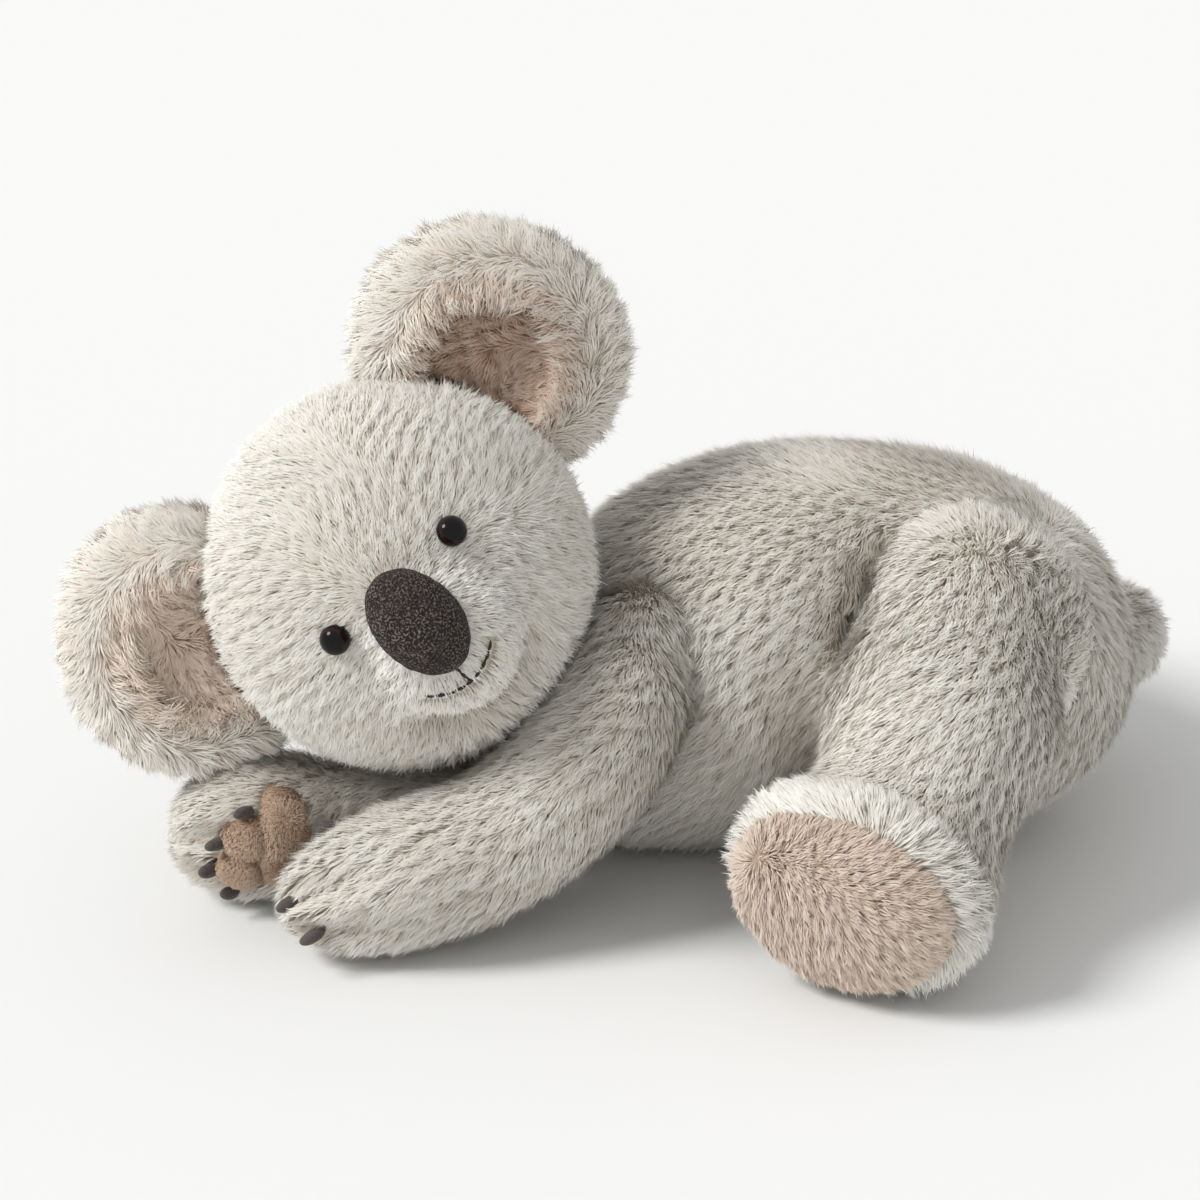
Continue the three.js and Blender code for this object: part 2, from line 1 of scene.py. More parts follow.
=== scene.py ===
import json
import math
import bpy
import numpy as np
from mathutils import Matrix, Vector


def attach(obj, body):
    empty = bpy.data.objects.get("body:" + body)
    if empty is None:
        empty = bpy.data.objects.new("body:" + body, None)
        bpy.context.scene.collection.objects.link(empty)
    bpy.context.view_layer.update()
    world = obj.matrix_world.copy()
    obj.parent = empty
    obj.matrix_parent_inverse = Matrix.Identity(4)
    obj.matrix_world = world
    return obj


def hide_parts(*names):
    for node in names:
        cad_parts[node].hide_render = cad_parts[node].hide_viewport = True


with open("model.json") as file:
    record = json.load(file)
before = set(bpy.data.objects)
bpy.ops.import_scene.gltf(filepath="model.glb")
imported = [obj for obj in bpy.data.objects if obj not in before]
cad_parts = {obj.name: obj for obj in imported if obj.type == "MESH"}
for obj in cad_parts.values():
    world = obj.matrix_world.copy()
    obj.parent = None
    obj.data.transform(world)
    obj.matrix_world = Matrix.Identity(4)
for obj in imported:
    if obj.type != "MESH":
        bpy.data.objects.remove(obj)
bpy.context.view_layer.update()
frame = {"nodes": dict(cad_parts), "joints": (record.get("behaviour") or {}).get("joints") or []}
print("frame loaded:", len(frame["nodes"]), "solids")

mm = 0.001
tiny = 1e-9
jointAt = {j["name"]: np.array(j["pos_m"]) / mm for j in frame["joints"]}
headCentre = jointAt["head_tilt"]
shift = headCentre - np.array([-85.5, -60.0, 145.5])  # the whole toy is centred over its origin
furShare = 1.0


# shapes are worked out in millimetres, as whole arrays of points
# a vector over its own length
def unit(v):
    return v / np.maximum(np.linalg.norm(v, axis=-1, keepdims=True), tiny)


# the products of two vectors' parts added up, as a column
def dot(a, b):
    return np.sum(a * b, axis=-1, keepdims=True)


# a smooth step from 0 to 1: three squares less two cubes
def ease(t):
    t = np.clip(t, 0, 1)
    return t * t * (3 - 2 * t)


# angles spread evenly round a ring
def turnsOf(cols):
    return 2 * np.pi * np.arange(cols) / cols


# angles spread evenly from pole to pole, without the poles
def tiltsOf(rows):
    return np.pi * np.arange(1, rows) / rows


# a circle: the cosine of the turn one way and its sine the other
def circleOf(turn, wide, high):
    return np.cos(turn)[:, None] * wide + np.sin(turn)[:, None] * high


# random plane waves of one length added up: their value and their slope, both about 1 in size
def waves(points, length, seed, count=14):
    rng = np.random.default_rng(seed)
    k = unit(rng.normal(size=(count, 3))) * rng.uniform(0.7, 1.4, (count, 1))
    angle = points @ k.T * (2 * np.pi / length) + rng.uniform(0, 2 * np.pi, count)
    scale = math.sqrt(2 / count)
    return scale * np.cos(angle).sum(1, keepdims=True), -scale * np.sin(angle) @ k


# a smooth mesh from points and arrays of faces, whose corners come back with it
def putMesh(name, points, faceSets):
    mesh = bpy.data.meshes.new(name)
    mesh.vertices.add(len(points))
    mesh.vertices.foreach_set("co", (points * mm).astype(np.float32).ravel())
    corners = np.concatenate([f.ravel() for f in faceSets]).astype(np.int32)
    sizes = np.concatenate([np.full(len(f), f.shape[1]) for f in faceSets])
    mesh.loops.add(len(corners))
    mesh.loops.foreach_set("vertex_index", corners)
    mesh.polygons.add(len(sizes))
    starts = np.concatenate([[0], np.cumsum(sizes)[:-1]]).astype(np.int32)
    mesh.polygons.foreach_set("loop_start", starts)
    mesh.polygons.foreach_set("use_smooth", np.full(len(sizes), True))
    mesh.update(calc_edges=True)
    piece = bpy.data.objects.new(name, mesh)
    bpy.context.scene.collection.objects.link(piece)
    return piece, corners


# faces of a grid of rings that closes round and ends in a point at each end
def ringFaces(rows, cols):
    ring = np.arange(rows * cols).reshape(rows, cols)
    after = np.roll(ring, -1, axis=1)
    quads = np.stack([ring[:-1], after[:-1], after[1:], ring[1:]], -1).reshape(-1, 4) + 1
    first = np.stack([np.zeros(cols, int), after[0] + 1, ring[0] + 1], -1)
    last = np.stack([np.full(cols, rows * cols + 1), ring[-1] + 1, after[-1] + 1], -1)
    return quads, np.concatenate([first, last])


# normals summed by area from the faces round each point, and the flow from each ring to the next
def withNormals(skin):
    points, quads = skin["points"], skin["quads"]
    tri = np.concatenate([quads[:, [0, 1, 2]], quads[:, [0, 2, 3]], skin["tris"]])
    a, b, c = (points[tri[:, i]] for i in range(3))
    flat = np.cross(b - a, c - a)
    total = np.zeros_like(points)
    for i in range(3):
        np.add.at(total, tri[:, i], flat)
    rows, cols = skin["grid"]
    first, last = (np.broadcast_to(points[i], (1, cols, 3)) for i in (0, -1))
    run = np.gradient(np.concatenate([first, points[1:-1].reshape(rows, cols, 3), last]), axis=0)
    flow = np.concatenate([run[:1].mean(1), run[1:-1].reshape(-1, 3), run[-1:].mean(1)])
    skin.update(normals=unit(total), triangles=tri, flow=flow)
    return skin


# a closed skin from its first point, its rings and its last point, turned to face outwards
def skinOf(start, rings, end):
    rows, cols = rings.shape[:2]
    points = np.concatenate([start[None], rings.reshape(-1, 3), end[None]])
    quads, tris = ringFaces(rows, cols)
    a, b, c = (points[quads[:, i]] for i in range(3))
    if np.sum(np.cross(b - a, c - a) * (a - points.mean(0))) < 0:
        quads, tris = quads[:, ::-1], tris[:, ::-1]
    return withNormals({"points": points, "quads": quads, "tris": tris, "grid": (rows, cols)})


# each point of a skin moved out along its normal
def pushed(skin, far):
    skin["points"] = skin["points"] + skin["normals"] * np.reshape(far, (-1, 1))
    return withNormals(skin)


# centripetal spline through the points, evened out by length
def spinePath(points, count=240):
    p = np.array(points, float)
    p = np.vstack([2 * p[0] - p[1], p, 2 * p[-1] - p[-2]])
    knots = np.concatenate([[0], np.cumsum(np.linalg.norm(np.diff(p, axis=0), axis=1) ** 0.5)])
    t = np.linspace(knots[1], knots[-2], 4 * count)
    at = np.clip(np.searchsorted(knots, t, side="right") - 1, 1, len(p) - 3)
    p0, p1, p2, p3 = (p[at + i] for i in (-1, 0, 1, 2))
    k0, k1, k2, k3 = (knots[at + i][:, None] for i in (-1, 0, 1, 2))
    t = t[:, None]
    between = lambda a, b, ka, kb: (a * (kb - t) + b * (t - ka)) / (kb - ka)
    a1, a2, a3 = between(p0, p1, k0, k1), between(p1, p2, k1, k2), between(p2, p3, k2, k3)
    curve = between(between(a1, a2, k0, k2), between(a2, a3, k1, k3), k1, k2)
    run = np.concatenate([[0], np.cumsum(np.linalg.norm(np.diff(curve, axis=0), axis=1))])
    even = np.linspace(0, run[-1], count)
    path = np.stack([np.interp(even, run, curve[:, i]) for i in range(3)], -1)
    return path, run[-1]


# uniform spline through evenly spread radii
def taperAt(radii, u):
    r = np.array(radii, float)
    x = u * (len(r) - 1)
    i = np.clip(np.floor(x).astype(int), 0, len(r) - 2)
    w = x - i
    before, here, there, beyond = r[np.maximum(i - 1, 0)], r[i], r[i + 1], r[np.minimum(i + 2, len(r) - 1)]
    v0, v1 = (there - before) / 2, (beyond - here) / 2
    cubic = (2 * here - 2 * there + v0 + v1) * w**3
    return cubic + (3 * there - 3 * here - 2 * v0 - v1) * w**2 + v0 * w + here


# thickness towards rounded ends: the root of 1 less the way from the middle to a power, one for each half
def endRounding(u, root, tip):
    power = np.where(u < 0.5, root, tip)
    return np.sqrt(np.maximum(0, 1 - np.abs(2 * u - 1) ** power))


# a form about a spine; its rings turn no faster than the spine's direction evened out over a few steps
def makeForm(path, radius, squat=1.0, up=(0, 0, 1), even=1):
    bell = np.hanning(2 * even + 1)
    steps = np.pad(np.gradient(path, axis=0), ((even, even), (0, 0)), mode="edge")
    tangent = unit(np.stack([np.convolve(steps[:, i], bell, "valid") for i in range(3)], -1))
    side = unit(np.cross(tangent, np.array(up, float)))
    return {
        "path": path, "radius": radius, "tangent": tangent, "side": side,
        "over": np.cross(tangent, side), "squat": np.broadcast_to(squat, radius.shape),
    }


# how deep points lie in a form, and where along its spine they are
def depthIn(form, points):
    path = form["path"].astype(np.float32)
    p = points.astype(np.float32)
    near = np.argmin((path**2).sum(1)[None] - 2 * p @ path.T, axis=1)
    away = points - form["path"][near]
    over = form["over"][near]
    away = away + over * dot(away, over) * (1 / form["squat"][near][:, None] - 1)
    return form["radius"][near] - np.linalg.norm(away, axis=1), near / (len(path) - 1)


# rings of a form: places along the spine bunched towards both ends, turned evenly around
def ringsOf(form, rows, cols, shapeRings=None):
    u = (1 - np.cos(tiltsOf(rows))) / 2
    steps = np.arange(len(form["path"]))
    at = u * steps[-1]
    low = np.floor(at).astype(int)
    w = (at - low)[:, None]
    pick = lambda key: form[key][low] * (1 - w) + form[key][low + 1] * w
    turn = turnsOf(cols)
    radius = np.interp(at, steps, form["radius"])[:, None] * np.ones(cols)
    if shapeRings is not None:
        radius = radius * shapeRings(u[:, None], turn[None])
    squat = np.interp(at, steps, form["squat"])[:, None, None]
    over = np.sin(turn)[None, :, None] * squat * pick("over")[:, None]
    ring = np.cos(turn)[None, :, None] * pick("side")[:, None] + over
    return skinOf(form["path"][0], pick("path")[:, None] + radius[..., None] * ring, form["path"][-1])


# settle a skin on the floor: heights below it are pressed up to it, softly
def settle(skin, floor=1.6, soft=3.0):
    z = skin["points"][:, 2] - floor
    skin["points"][:, 2] = floor + 0.5 * (z + np.sqrt(z * z + soft * soft))
    return withNormals(skin)


# dent a skin where a ball sits in it: points inside the ball go inwards to its far side
def dent(skin, centre, radius):
    p, n = skin["points"], skin["normals"]
    away = p - centre
    inside = np.linalg.norm(away, axis=1) < radius
    b = dot(away, n)
    t = b + np.sqrt(np.maximum(0, b * b + radius**2 - dot(away, away)))
    skin["points"] = np.where(inside[:, None], p - t * n, p)
    return withNormals(skin)


# skins lie under the pile, a little inside the sewn forms
coverLook = {"inset": 5.5, "lowest": 0.8, "pileFrom": 2.2}
inset = coverLook["inset"]

bodyShape = {
    "length": 310, "middleX": 84.5, "bellyHeight": 86, "forwards": (12, 3, 0, 0, 0),
    "drops": (22, 19, 0, 6.7, 31), "radii": (79, 93, 98), "neckFullness": 2.4, "rumpFullness": 2.3,
}


# the body: places spread evenly along it, each dropped from the belly's height and moved forwards
def bodyForm(shape):
    x = shape["middleX"] + shape["length"] * np.linspace(-0.5, 0.5, len(shape["drops"]))
    y = -np.array(shape["forwards"])
    z = shape["bellyHeight"] - np.array(shape["drops"])
    path, _ = spinePath(np.stack([x, y, z], -1) + shift)
    u = np.linspace(0, 1, len(path))
    rounding = endRounding(u, shape["neckFullness"], shape["rumpFullness"])
    return makeForm(path, taperAt(shape["radii"], u) * rounding)


body = bodyForm(bodyShape)

headShape = {
    "radius": 84.5, "facing": (0.166, -0.972, 0.165), "up": (-0.661, 0.014, 0.75), "seat": 3,
    "muzzleRise": 9.5, "muzzlePitch": -13.0, "muzzleSpread": 20, "muzzlePower": 5,
    "chinDip": 8, "chinAngle": 27, "chinWidth": 6, "chinFrom": 0.2, "chinFade": 0.5,
}
facing = unit(np.array(headShape["facing"]))
headUp = unit(np.array(headShape["up"]) - facing * np.dot(headShape["up"], facing))
headLeft = np.cross(headUp, facing)


# direction on the face from degrees towards the left ear and degrees up
def faceDirection(yaw, pitch):
    yaw, pitch = np.radians(yaw), np.radians(pitch)
    return (
        np.multiply.outer(np.cos(yaw) * np.cos(pitch), facing)
        + np.multiply.outer(np.sin(yaw) * np.cos(pitch), headLeft)
        + np.multiply.outer(np.sin(pitch), headUp)
    )


muzzleWay = faceDirection(0.0, headShape["muzzlePitch"])


# the head's height over its ball: a flat-topped bell on the muzzle, and a dip under the chin's edge
def muzzleRise(direction):
    head = headShape
    angle = np.degrees(np.arccos(np.clip(direction @ muzzleWay, -1, 1)))
    below = ease((-(unit(direction - muzzleWay) @ headUp) - head["chinFrom"]) / head["chinFade"])
    bell = head["muzzleRise"] * np.exp(-((angle / head["muzzleSpread"]) ** head["muzzlePower"]))
    return bell - head["chinDip"] * below * np.exp(-(((angle - head["chinAngle"]) / head["chinWidth"]) ** 2))


# how far the head's sewn form reaches from its middle: its ball and the muzzle's rise
def headReach(direction):
    return headShape["radius"] + muzzleRise(direction)


# the point on the face in a direction, so far over the sewn form
def facePoint(yaw, pitch, height):
    direction = faceDirection(yaw, pitch)
    return headCentre + direction * (headReach(direction) + height)[..., None]


# how deep points lie in the head: its reach their way less their distance
def depthInHead(points):
    away = points - headCentre
    return headReach(unit(away)) - np.linalg.norm(away, axis=1)


# a limb: a round root behind the seam, then the radii along its route and a rounded tip
def limbForm(root, route, shape):
    ball = shape["ball"]
    path, length = spinePath(np.vstack([root, root + np.array(route, float)]))
    start = unit(path[1] - path[0])
    step = length / (len(path) - 1)
    back = -step * np.arange(int(ball / step), 0, -1)[:, None]
    full = np.vstack([path[0] + start * back, path])
    s = np.concatenate([back[:, 0], np.linspace(0, length, len(path))])
    u = np.clip(s / length, 0, 1)
    swollen = taperAt(shape["radii"], u) * np.where(u > 0.5, endRounding(u, 2, shape["fullness"]), 1)
    rounded = np.sqrt(np.maximum(0, ball**2 - np.minimum(s, 0) ** 2))
    blendIn = ease(s / ball)
    radius = rounded * (1 - blendIn) + swollen * blendIn
    return makeForm(full, radius, 1 + (shape["squat"] - 1) * blendIn, even=shape["even"])


armShape = {
    "left": {"route": ((-13, -33, -30), (-53, -52, -65), (-150, -73, -93)), "radii": (33, 33, 33, 34, 34),
             "grooves": (168, 222), "paw": 34},
    "right": {"route": ((-163, -47, -2),), "radii": (25, 25, 25, 37, 37), "grooves": (150, 200), "paw": 37},
    "ball": 27, "fullness": 3.5, "squat": 1.0, "even": 1,
    "grooveDepth": 0.28, "grooveWidth": 13, "grooveFrom": 0.72, "grooveFade": 0.22,
}
legShape = {  # a place is so far forward and wide, at a share of the drop
    "places": ((13, 44, 0.34), (25, 66, 0.68), (42, 86, 0.92), (66, 124, 1.0)),
    "radii": (50, 57, 49, 62, 66), "ball": 51, "fullness": 4.2, "squat": 0.78, "even": 55, "footFlat": 10,
}
tailShape = {
    "way": (0.9, 0.43, 0.05), "length": 40, "radii": (24, 24), "ball": 20, "fullness": 2.6,
    "squat": 1.0, "even": 1,
}
roots = {
    "left_arm": jointAt["left_arm_lift"], "right_arm": jointAt["right_arm_roll"],
    "left_leg": jointAt["left_leg_lift"], "right_leg": jointAt["right_leg_lift"], "tail": jointAt["tail_wag"],
}
shapes = {"arm": armShape, "leg": legShape, "tail": tailShape}
balls = {limb: shapes[limb.split("_")[-1]]["ball"] for limb in roots}
limbs = {}
for side, out in (("left", -1), ("right", 1)):
    arm = dict(armShape, **armShape[side])
    limbs[side + "_arm"] = limbForm(roots[side + "_arm"], arm["route"], arm)
    hip = roots[side + "_leg"]
    drop = hip[2] - (legShape["radii"][-1] * legShape["squat"] - legShape["footFlat"])
    route = [(-forward, out * wide, -share * drop) for forward, wide, share in legShape["places"]]
    limbs[side + "_leg"] = limbForm(hip, route, legShape)
tailWay = unit(np.array(tailShape["way"])) * tailShape["length"]
limbs["tail"] = limbForm(roots["tail"], (tailWay,), tailShape)
print("forms ready:", len(limbs) + 2)

# how a limb is sewn on: the body drawn in beside it in front, and a soft join behind
joins = {
    "left_arm": {"pull": 5, "width": 14, "reach": 22}, "right_arm": {"pull": 0, "width": 14, "reach": 16},
    "left_leg": {"pull": 12, "width": 24, "reach": 44}, "right_leg": {"pull": 12, "width": 24, "reach": 44},
    "tail": {"pull": 0, "width": 10, "reach": 10},
}
seamLook = {
    "back": np.array([0.8, 0, 0.6]), "backSpan": 70, "backFrom": 0.35, "fade": 30,
    "joinRoom": 45, "pullRoom": 60, "sink": 4, "sinkFade": 8, "headRoom": 3,
}


# how far a place lies to the upper back of a limb's root, from 0 in front of it to 1
def behindRoot(limb, points):
    return ease((points - roots[limb]) @ seamLook["back"] / seamLook["backSpan"] + seamLook["backFrom"])


# 1 within a room about a limb's root ball, easing to 0 at its end
def nearRoot(limb, points, room):
    return ease((balls[limb] + room - np.linalg.norm(points - roots[limb], axis=1)) / seamLook["fade"])


# a soft join behind a limb: where its skin and the body's meet, each rises by a quarter of the join's reach,
# less with the square of the way off
def fillet(skin, depth, limb):
    p = skin["points"]
    reach = joins[limb]["reach"] * behindRoot(limb, p) * nearRoot(limb, p, seamLook["joinRoom"]) + 1e-6
    near = np.clip(1 - np.abs(depth) / reach, 0, 1)
    return pushed(skin, reach / 4 * near**2)


# a seam in front of a limb: the body's skin is drawn in beside it by a bell curve of the way off
def drawIn(skin, depth, limb):
    p = skin["points"]
    bell = np.exp(-((np.maximum(-depth, 0) / joins[limb]["width"]) ** 2))
    pull = joins[limb]["pull"] * (1 - behindRoot(limb, p)) * nearRoot(limb, p, seamLook["pullRoom"]) * bell
    return pushed(skin, -pull)


skins = {"body": pushed(ringsOf(body, 64, 104), -inset)}
for limb, form in limbs.items():
    depth = depthIn(form, skins["body"]["points"])[0] - inset
    fillet(drawIn(skins["body"], depth, limb), depth, limb)
skins["body"] = settle(dent(skins["body"], headCentre, headShape["radius"] - inset + headShape["seat"]))


# the head: a ball turned about the way it faces, with the muzzle's rise
def headSkin(rows=64, cols=88):
    tilt = tiltsOf(rows)[:, None, None]
    way = np.cos(tilt) * facing + np.sin(tilt) * circleOf(turnsOf(cols), headLeft, headUp)
    reach = lambda d: headCentre + d * (headReach(d) - inset)[..., None]
    return skinOf(reach(facing[None])[0], reach(way), reach(-facing[None])[0])


skins["head"] = headSkin()


# points that would lie in the head come out to its cloth
def outOfHead(skin, room):
    away = skin["points"] - headCentre
    reach = headReach(unit(away)) - inset + room
    skin["points"] = headCentre + unit(away) * np.maximum(np.linalg.norm(away, axis=1), reach)[:, None]
    return withNormals(skin)


# grooves between the fingers run back from the paw's tip: how far a place is in one, from its share
# of the way and its turn
def fingerGroove(side, u, turn):
    cut = 0
    for degrees in armShape[side]["grooves"]:
        gap = (np.degrees(turn) - degrees + 180) % 360 - 180
        cut = cut + np.exp(-((gap / armShape["grooveWidth"]) ** 2))
    return ease((u - armShape["grooveFrom"]) / armShape["grooveFade"]) * cut


# how far points are in a groove, by the nearest step of the spine and the turn about it
def grooveAt(form, side, p):
    share = depthIn(form, p)[1]
    near = np.round(share * (len(form["path"]) - 1)).astype(int)
    away = p - form["path"][near]
    turn = np.arctan2(dot(away, form["over"][near]), dot(away, form["side"][near]))[:, 0]
    return fingerGroove(side, share, turn)


# a limb joins the body softly, draws in to its round root inside it and stops short of the head
for limb, form in limbs.items():
    side = limb.split("_")[0]
    grooved = lambda u, turn: 1 - armShape["grooveDepth"] * fingerGroove(side, u, turn)
    skin = pushed(ringsOf(form, 56, 64, grooved if limb.endswith("arm") else None), -inset)
    depth = depthIn(body, skin["points"])[0] - inset
    p = fillet(skin, depth, limb)["points"]
    ballPoint = roots[limb] + unit(p - roots[limb]) * (balls[limb] - inset)
    inFront = joins[limb]["pull"] * (1 - behindRoot(limb, p))
    pull = ease((depth - seamLook["sink"] - inFront) / seamLook["sinkFade"])[:, None]
    skin["points"] = p * (1 - pull) + ballPoint * pull
    skins[limb] = settle(outOfHead(skin, seamLook["headRoom"]))
print("skins ready:", ", ".join(skins))

clothLook = {"pressure": 4.0, "frames": 20, "quality": 5, "cap": 2.0, "gap": 0.5}


# the bags swell as cloth under the push of their filling, and no point moves further than the cap
def letSwell(names):
    scene = bpy.context.scene
    bags = {}
    for name in names:
        bag, _ = putMesh(name + "_bag", skins[name]["points"], [skins[name]["quads"], skins[name]["tris"]])
        cloth = bag.modifiers.new("cloth", "CLOTH")
        cloth.settings.quality = clothLook["quality"]
        cloth.settings.use_pressure = True
        cloth.settings.uniform_pressure_force = clothLook["pressure"]
        cloth.settings.effector_weights.gravity = 0
        cloth.collision_settings.use_collision = False
        cloth.point_cache.frame_end = clothLook["frames"]
        bags[name] = bag
    for number in range(1, clothLook["frames"] + 1):
        scene.frame_set(number)
    graph = bpy.context.evaluated_depsgraph_get()
    for name, bag in bags.items():
        swollen = bag.evaluated_get(graph).to_mesh()
        places = np.empty(3 * len(swollen.vertices), np.float32)
        swollen.vertices.foreach_get("co", places)
        moved = places.reshape(-1, 3).astype(float) / mm - skins[name]["points"]
        far = np.linalg.norm(moved, axis=1, keepdims=True)
        share = np.minimum(1, clothLook["cap"] / np.maximum(far, tiny))
        skins[name]["points"] = skins[name]["points"] + moved * share
        settle(skins[name])
        print(f"{name} swelled by {np.minimum(far, clothLook['cap']).mean():.1f} mm")
        bpy.data.meshes.remove(bag.data)
    scene.frame_set(1)


letSwell(list(skins))
for limb in roots:  # the body makes room for each root ball, swollen too
    dent(skins["body"], roots[limb], balls[limb] - inset + clothLook["cap"] + clothLook["gap"])


# a material with its tree of nodes and its shader
def newMaterial(name):
    material = bpy.data.materials.new(name)
    material.use_nodes = True
    return material, material.node_tree, material.node_tree.nodes["Principled BSDF"]


# constant values on a node's own sockets
def setSockets(node, values):
    for socket, value in values.items():
        node.inputs[socket].default_value = value


# a screen colour as light: each part by the usual curve of power 2.4
def srgb(r, g, b):
    return tuple(((c / 255 + 0.055) / 1.055) ** 2.4 if c > 10 else c / 255 / 12.92 for c in (r, g, b))


# colours along a factor, from stops of a place and a colour
def ramp(tree, factor, stops):
    node = tree.nodes.new("ShaderNodeValToRGB")
    while len(node.color_ramp.elements) < len(stops):
        node.color_ramp.elements.new(0.5)
    for element, (place, colour) in zip(node.color_ramp.elements, stops):
        element.position = place
        element.color = (*colour, 1)
    tree.links.new(factor, node.inputs[0])
    return node.outputs[0]


# two colours mixed by a factor; each is a colour or another node's output
def mixColour(tree, factor, a, b):
    node = tree.nodes.new("ShaderNodeMix")
    node.data_type = "RGBA"
    tree.links.new(factor, node.inputs["Factor"])
    for source, socket in ((a, node.inputs[6]), (b, node.inputs[7])):
        if isinstance(source, tuple):
            socket.default_value = (*source, 1)
        else:
            tree.links.new(source, socket)
    return node.outputs[2]


# a noise field on the piece's own coordinates
def noise(tree, scale, detail=4):
    place, node = tree.nodes.new("ShaderNodeTexCoord"), tree.nodes.new("ShaderNodeTexNoise")
    setSockets(node, {"Scale": scale, "Detail": detail})
    tree.links.new(place.outputs["Object"], node.inputs["Vector"])
    return node.outputs[0]


# a bump from a height field, at a strength and a distance
def bumpFrom(tree, shader, height, strength, distance):
    bump = tree.nodes.new("ShaderNodeBump")
    setSockets(bump, {"Strength": strength, "Distance": distance})
    tree.links.new(height, bump.inputs["Height"])
    tree.links.new(bump.outputs[0], shader.inputs["Normal"])


pileShader = {"Roughness": 0.85, "Specular IOR Level": 0.1, "Sheen Weight": 0.12, "Sheen Roughness": 0.5}


# pile: across the map a strand's own tone from dark to light, up the map from its root to its tip
def pileMaterial(name, dark, light):
    material, tree, shader = newMaterial(name)
    uv, split = tree.nodes.new("ShaderNodeUVMap"), tree.nodes.new("ShaderNodeSeparateXYZ")
    uv.uv_map = "OFBake"
    tree.links.new(uv.outputs[0], split.inputs[0])
    low, high = (ramp(tree, split.outputs[1], list(zip((0.0, 0.5, 1.0), tones))) for tones in (dark, light))
    tree.links.new(mixColour(tree, split.outputs[0], low, high), shader.inputs["Base Color"])
    setSockets(shader, pileShader)
    return material


# two tones in patches of a noise field, with a bump from a field of its own grain
def grainMaterial(name, look):
    material, tree, shader = newMaterial(name)
    tones = mixColour(tree, noise(tree, look["patch"]), look["dark"], look["light"])
    tree.links.new(tones, shader.inputs["Base Color"])
    if "bump" in look:
        bumpFrom(tree, shader, noise(tree, look["grain"]), look["bump"], look["deep"])
    setSockets(shader, look["shader"])
    return material


# each plush: its slot, its cloth, and its darkest and lightest strands from the root to the tip; the darker,
# warmer roots are partly the pile's own colour and partly painted shade deep in the pile
plush = {
    "grey": {
        "slot": "grey_plush", "cloth": (srgb(192, 180, 160), srgb(212, 203, 187)),
        "dark": (srgb(188, 173, 150), srgb(213, 203, 187), srgb(231, 225, 214)),
        "light": (srgb(215, 206, 192), srgb(242, 240, 233), srgb(253, 253, 249))},
    "ear": {
        "slot": "cream_plush", "cloth": (srgb(214, 199, 181), srgb(232, 220, 204)),
        "dark": (srgb(212, 190, 169), srgb(232, 211, 192), srgb(242, 227, 211)),
        "light": (srgb(238, 232, 220), srgb(249, 245, 236), srgb(254, 252, 247))},
    "pink": {
        "slot": "pink_plush", "cloth": (srgb(178, 147, 125), srgb(206, 176, 154)),
        "dark": (srgb(164, 126, 100), srgb(206, 168, 141), srgb(224, 193, 169)),
        "light": (srgb(222, 196, 174), srgb(247, 227, 209), srgb(252, 240, 228))},
    "sole": {
        "slot": "sole_plush", "cloth": (srgb(166, 143, 125), srgb(194, 171, 152)),
        "dark": (srgb(160, 137, 119), srgb(206, 184, 165), srgb(222, 202, 185)),
        "light": (srgb(192, 170, 151), srgb(234, 218, 203), srgb(243, 232, 221))},
    "palm": {
        "slot": "palm_suede", "cloth": (srgb(148, 120, 99), srgb(180, 151, 128)),
        "dark": (srgb(140, 112, 91), srgb(184, 155, 131), srgb(202, 176, 153)),
        "light": (srgb(170, 142, 120), srgb(212, 186, 163), srgb(224, 202, 181))},
}
backingLook = {
    "patch": 160, "grain": 160, "bump": 0.6, "deep": 0.001,
    "shader": {"Roughness": 0.95, "Specular IOR Level": 0.1},
}
for name, look in plush.items():
    dark, light = look["cloth"]
    look["pile"] = pileMaterial(name + "Pile", look["dark"], look["light"])
    look["backing"] = grainMaterial(name + "Backing", dict(backingLook, dark=dark, light=light))


# spread roots evenly over a skin's area, as many as the density asks: places, normals and the flow there
def scatter(skin, density, rng):
    tri = skin["triangles"]
    a, b, c = (skin["points"][tri[:, i]] for i in range(3))
    area = np.linalg.norm(np.cross(b - a, c - a), axis=1) / 2
    count = int(area.sum() * density)
    pick = np.minimum(np.searchsorted(np.cumsum(area), rng.random(count) * area.sum()), len(tri) - 1)
    r1, r2 = np.sqrt(rng.random((count, 1))), rng.random((count, 1))
    weight = (1 - r1, r1 * (1 - r2), r1 * r2)
    mixed = lambda key: sum(w * skin[key][tri[pick, i]] for i, w in enumerate(weight))
    return mixed("points"), unit(mixed("normals")), unit(mixed("flow"))


# what all strands share: how much clumps change their length, lift and tone, how far they fold over,
# how their shading leans from the strand's own face to the skin, and where they lie on the map
strandLook = {
    "lengths": (0.8, 1.1), "widths": (0.38, 0.6), "clumpLength": 0.08, "clumpLift": 0.12, "fold": 0.45,
    "ownFace": 0.3, "skinFace": 0.7, "strayFace": 0.08, "clumpTone": 0.11, "ownTone": 0.12, "patchTone": 0.05,
    "patch": 90, "tones": (0.03, 0.97), "mapAcross": (0, -0.01, 0.01, 0), "mapUp": (0.02, 0.5, 0.5, 0.98),
    "lowest": 0.5, "perMesh": 95000,  # each mesh stays under 200,000 triangles
}


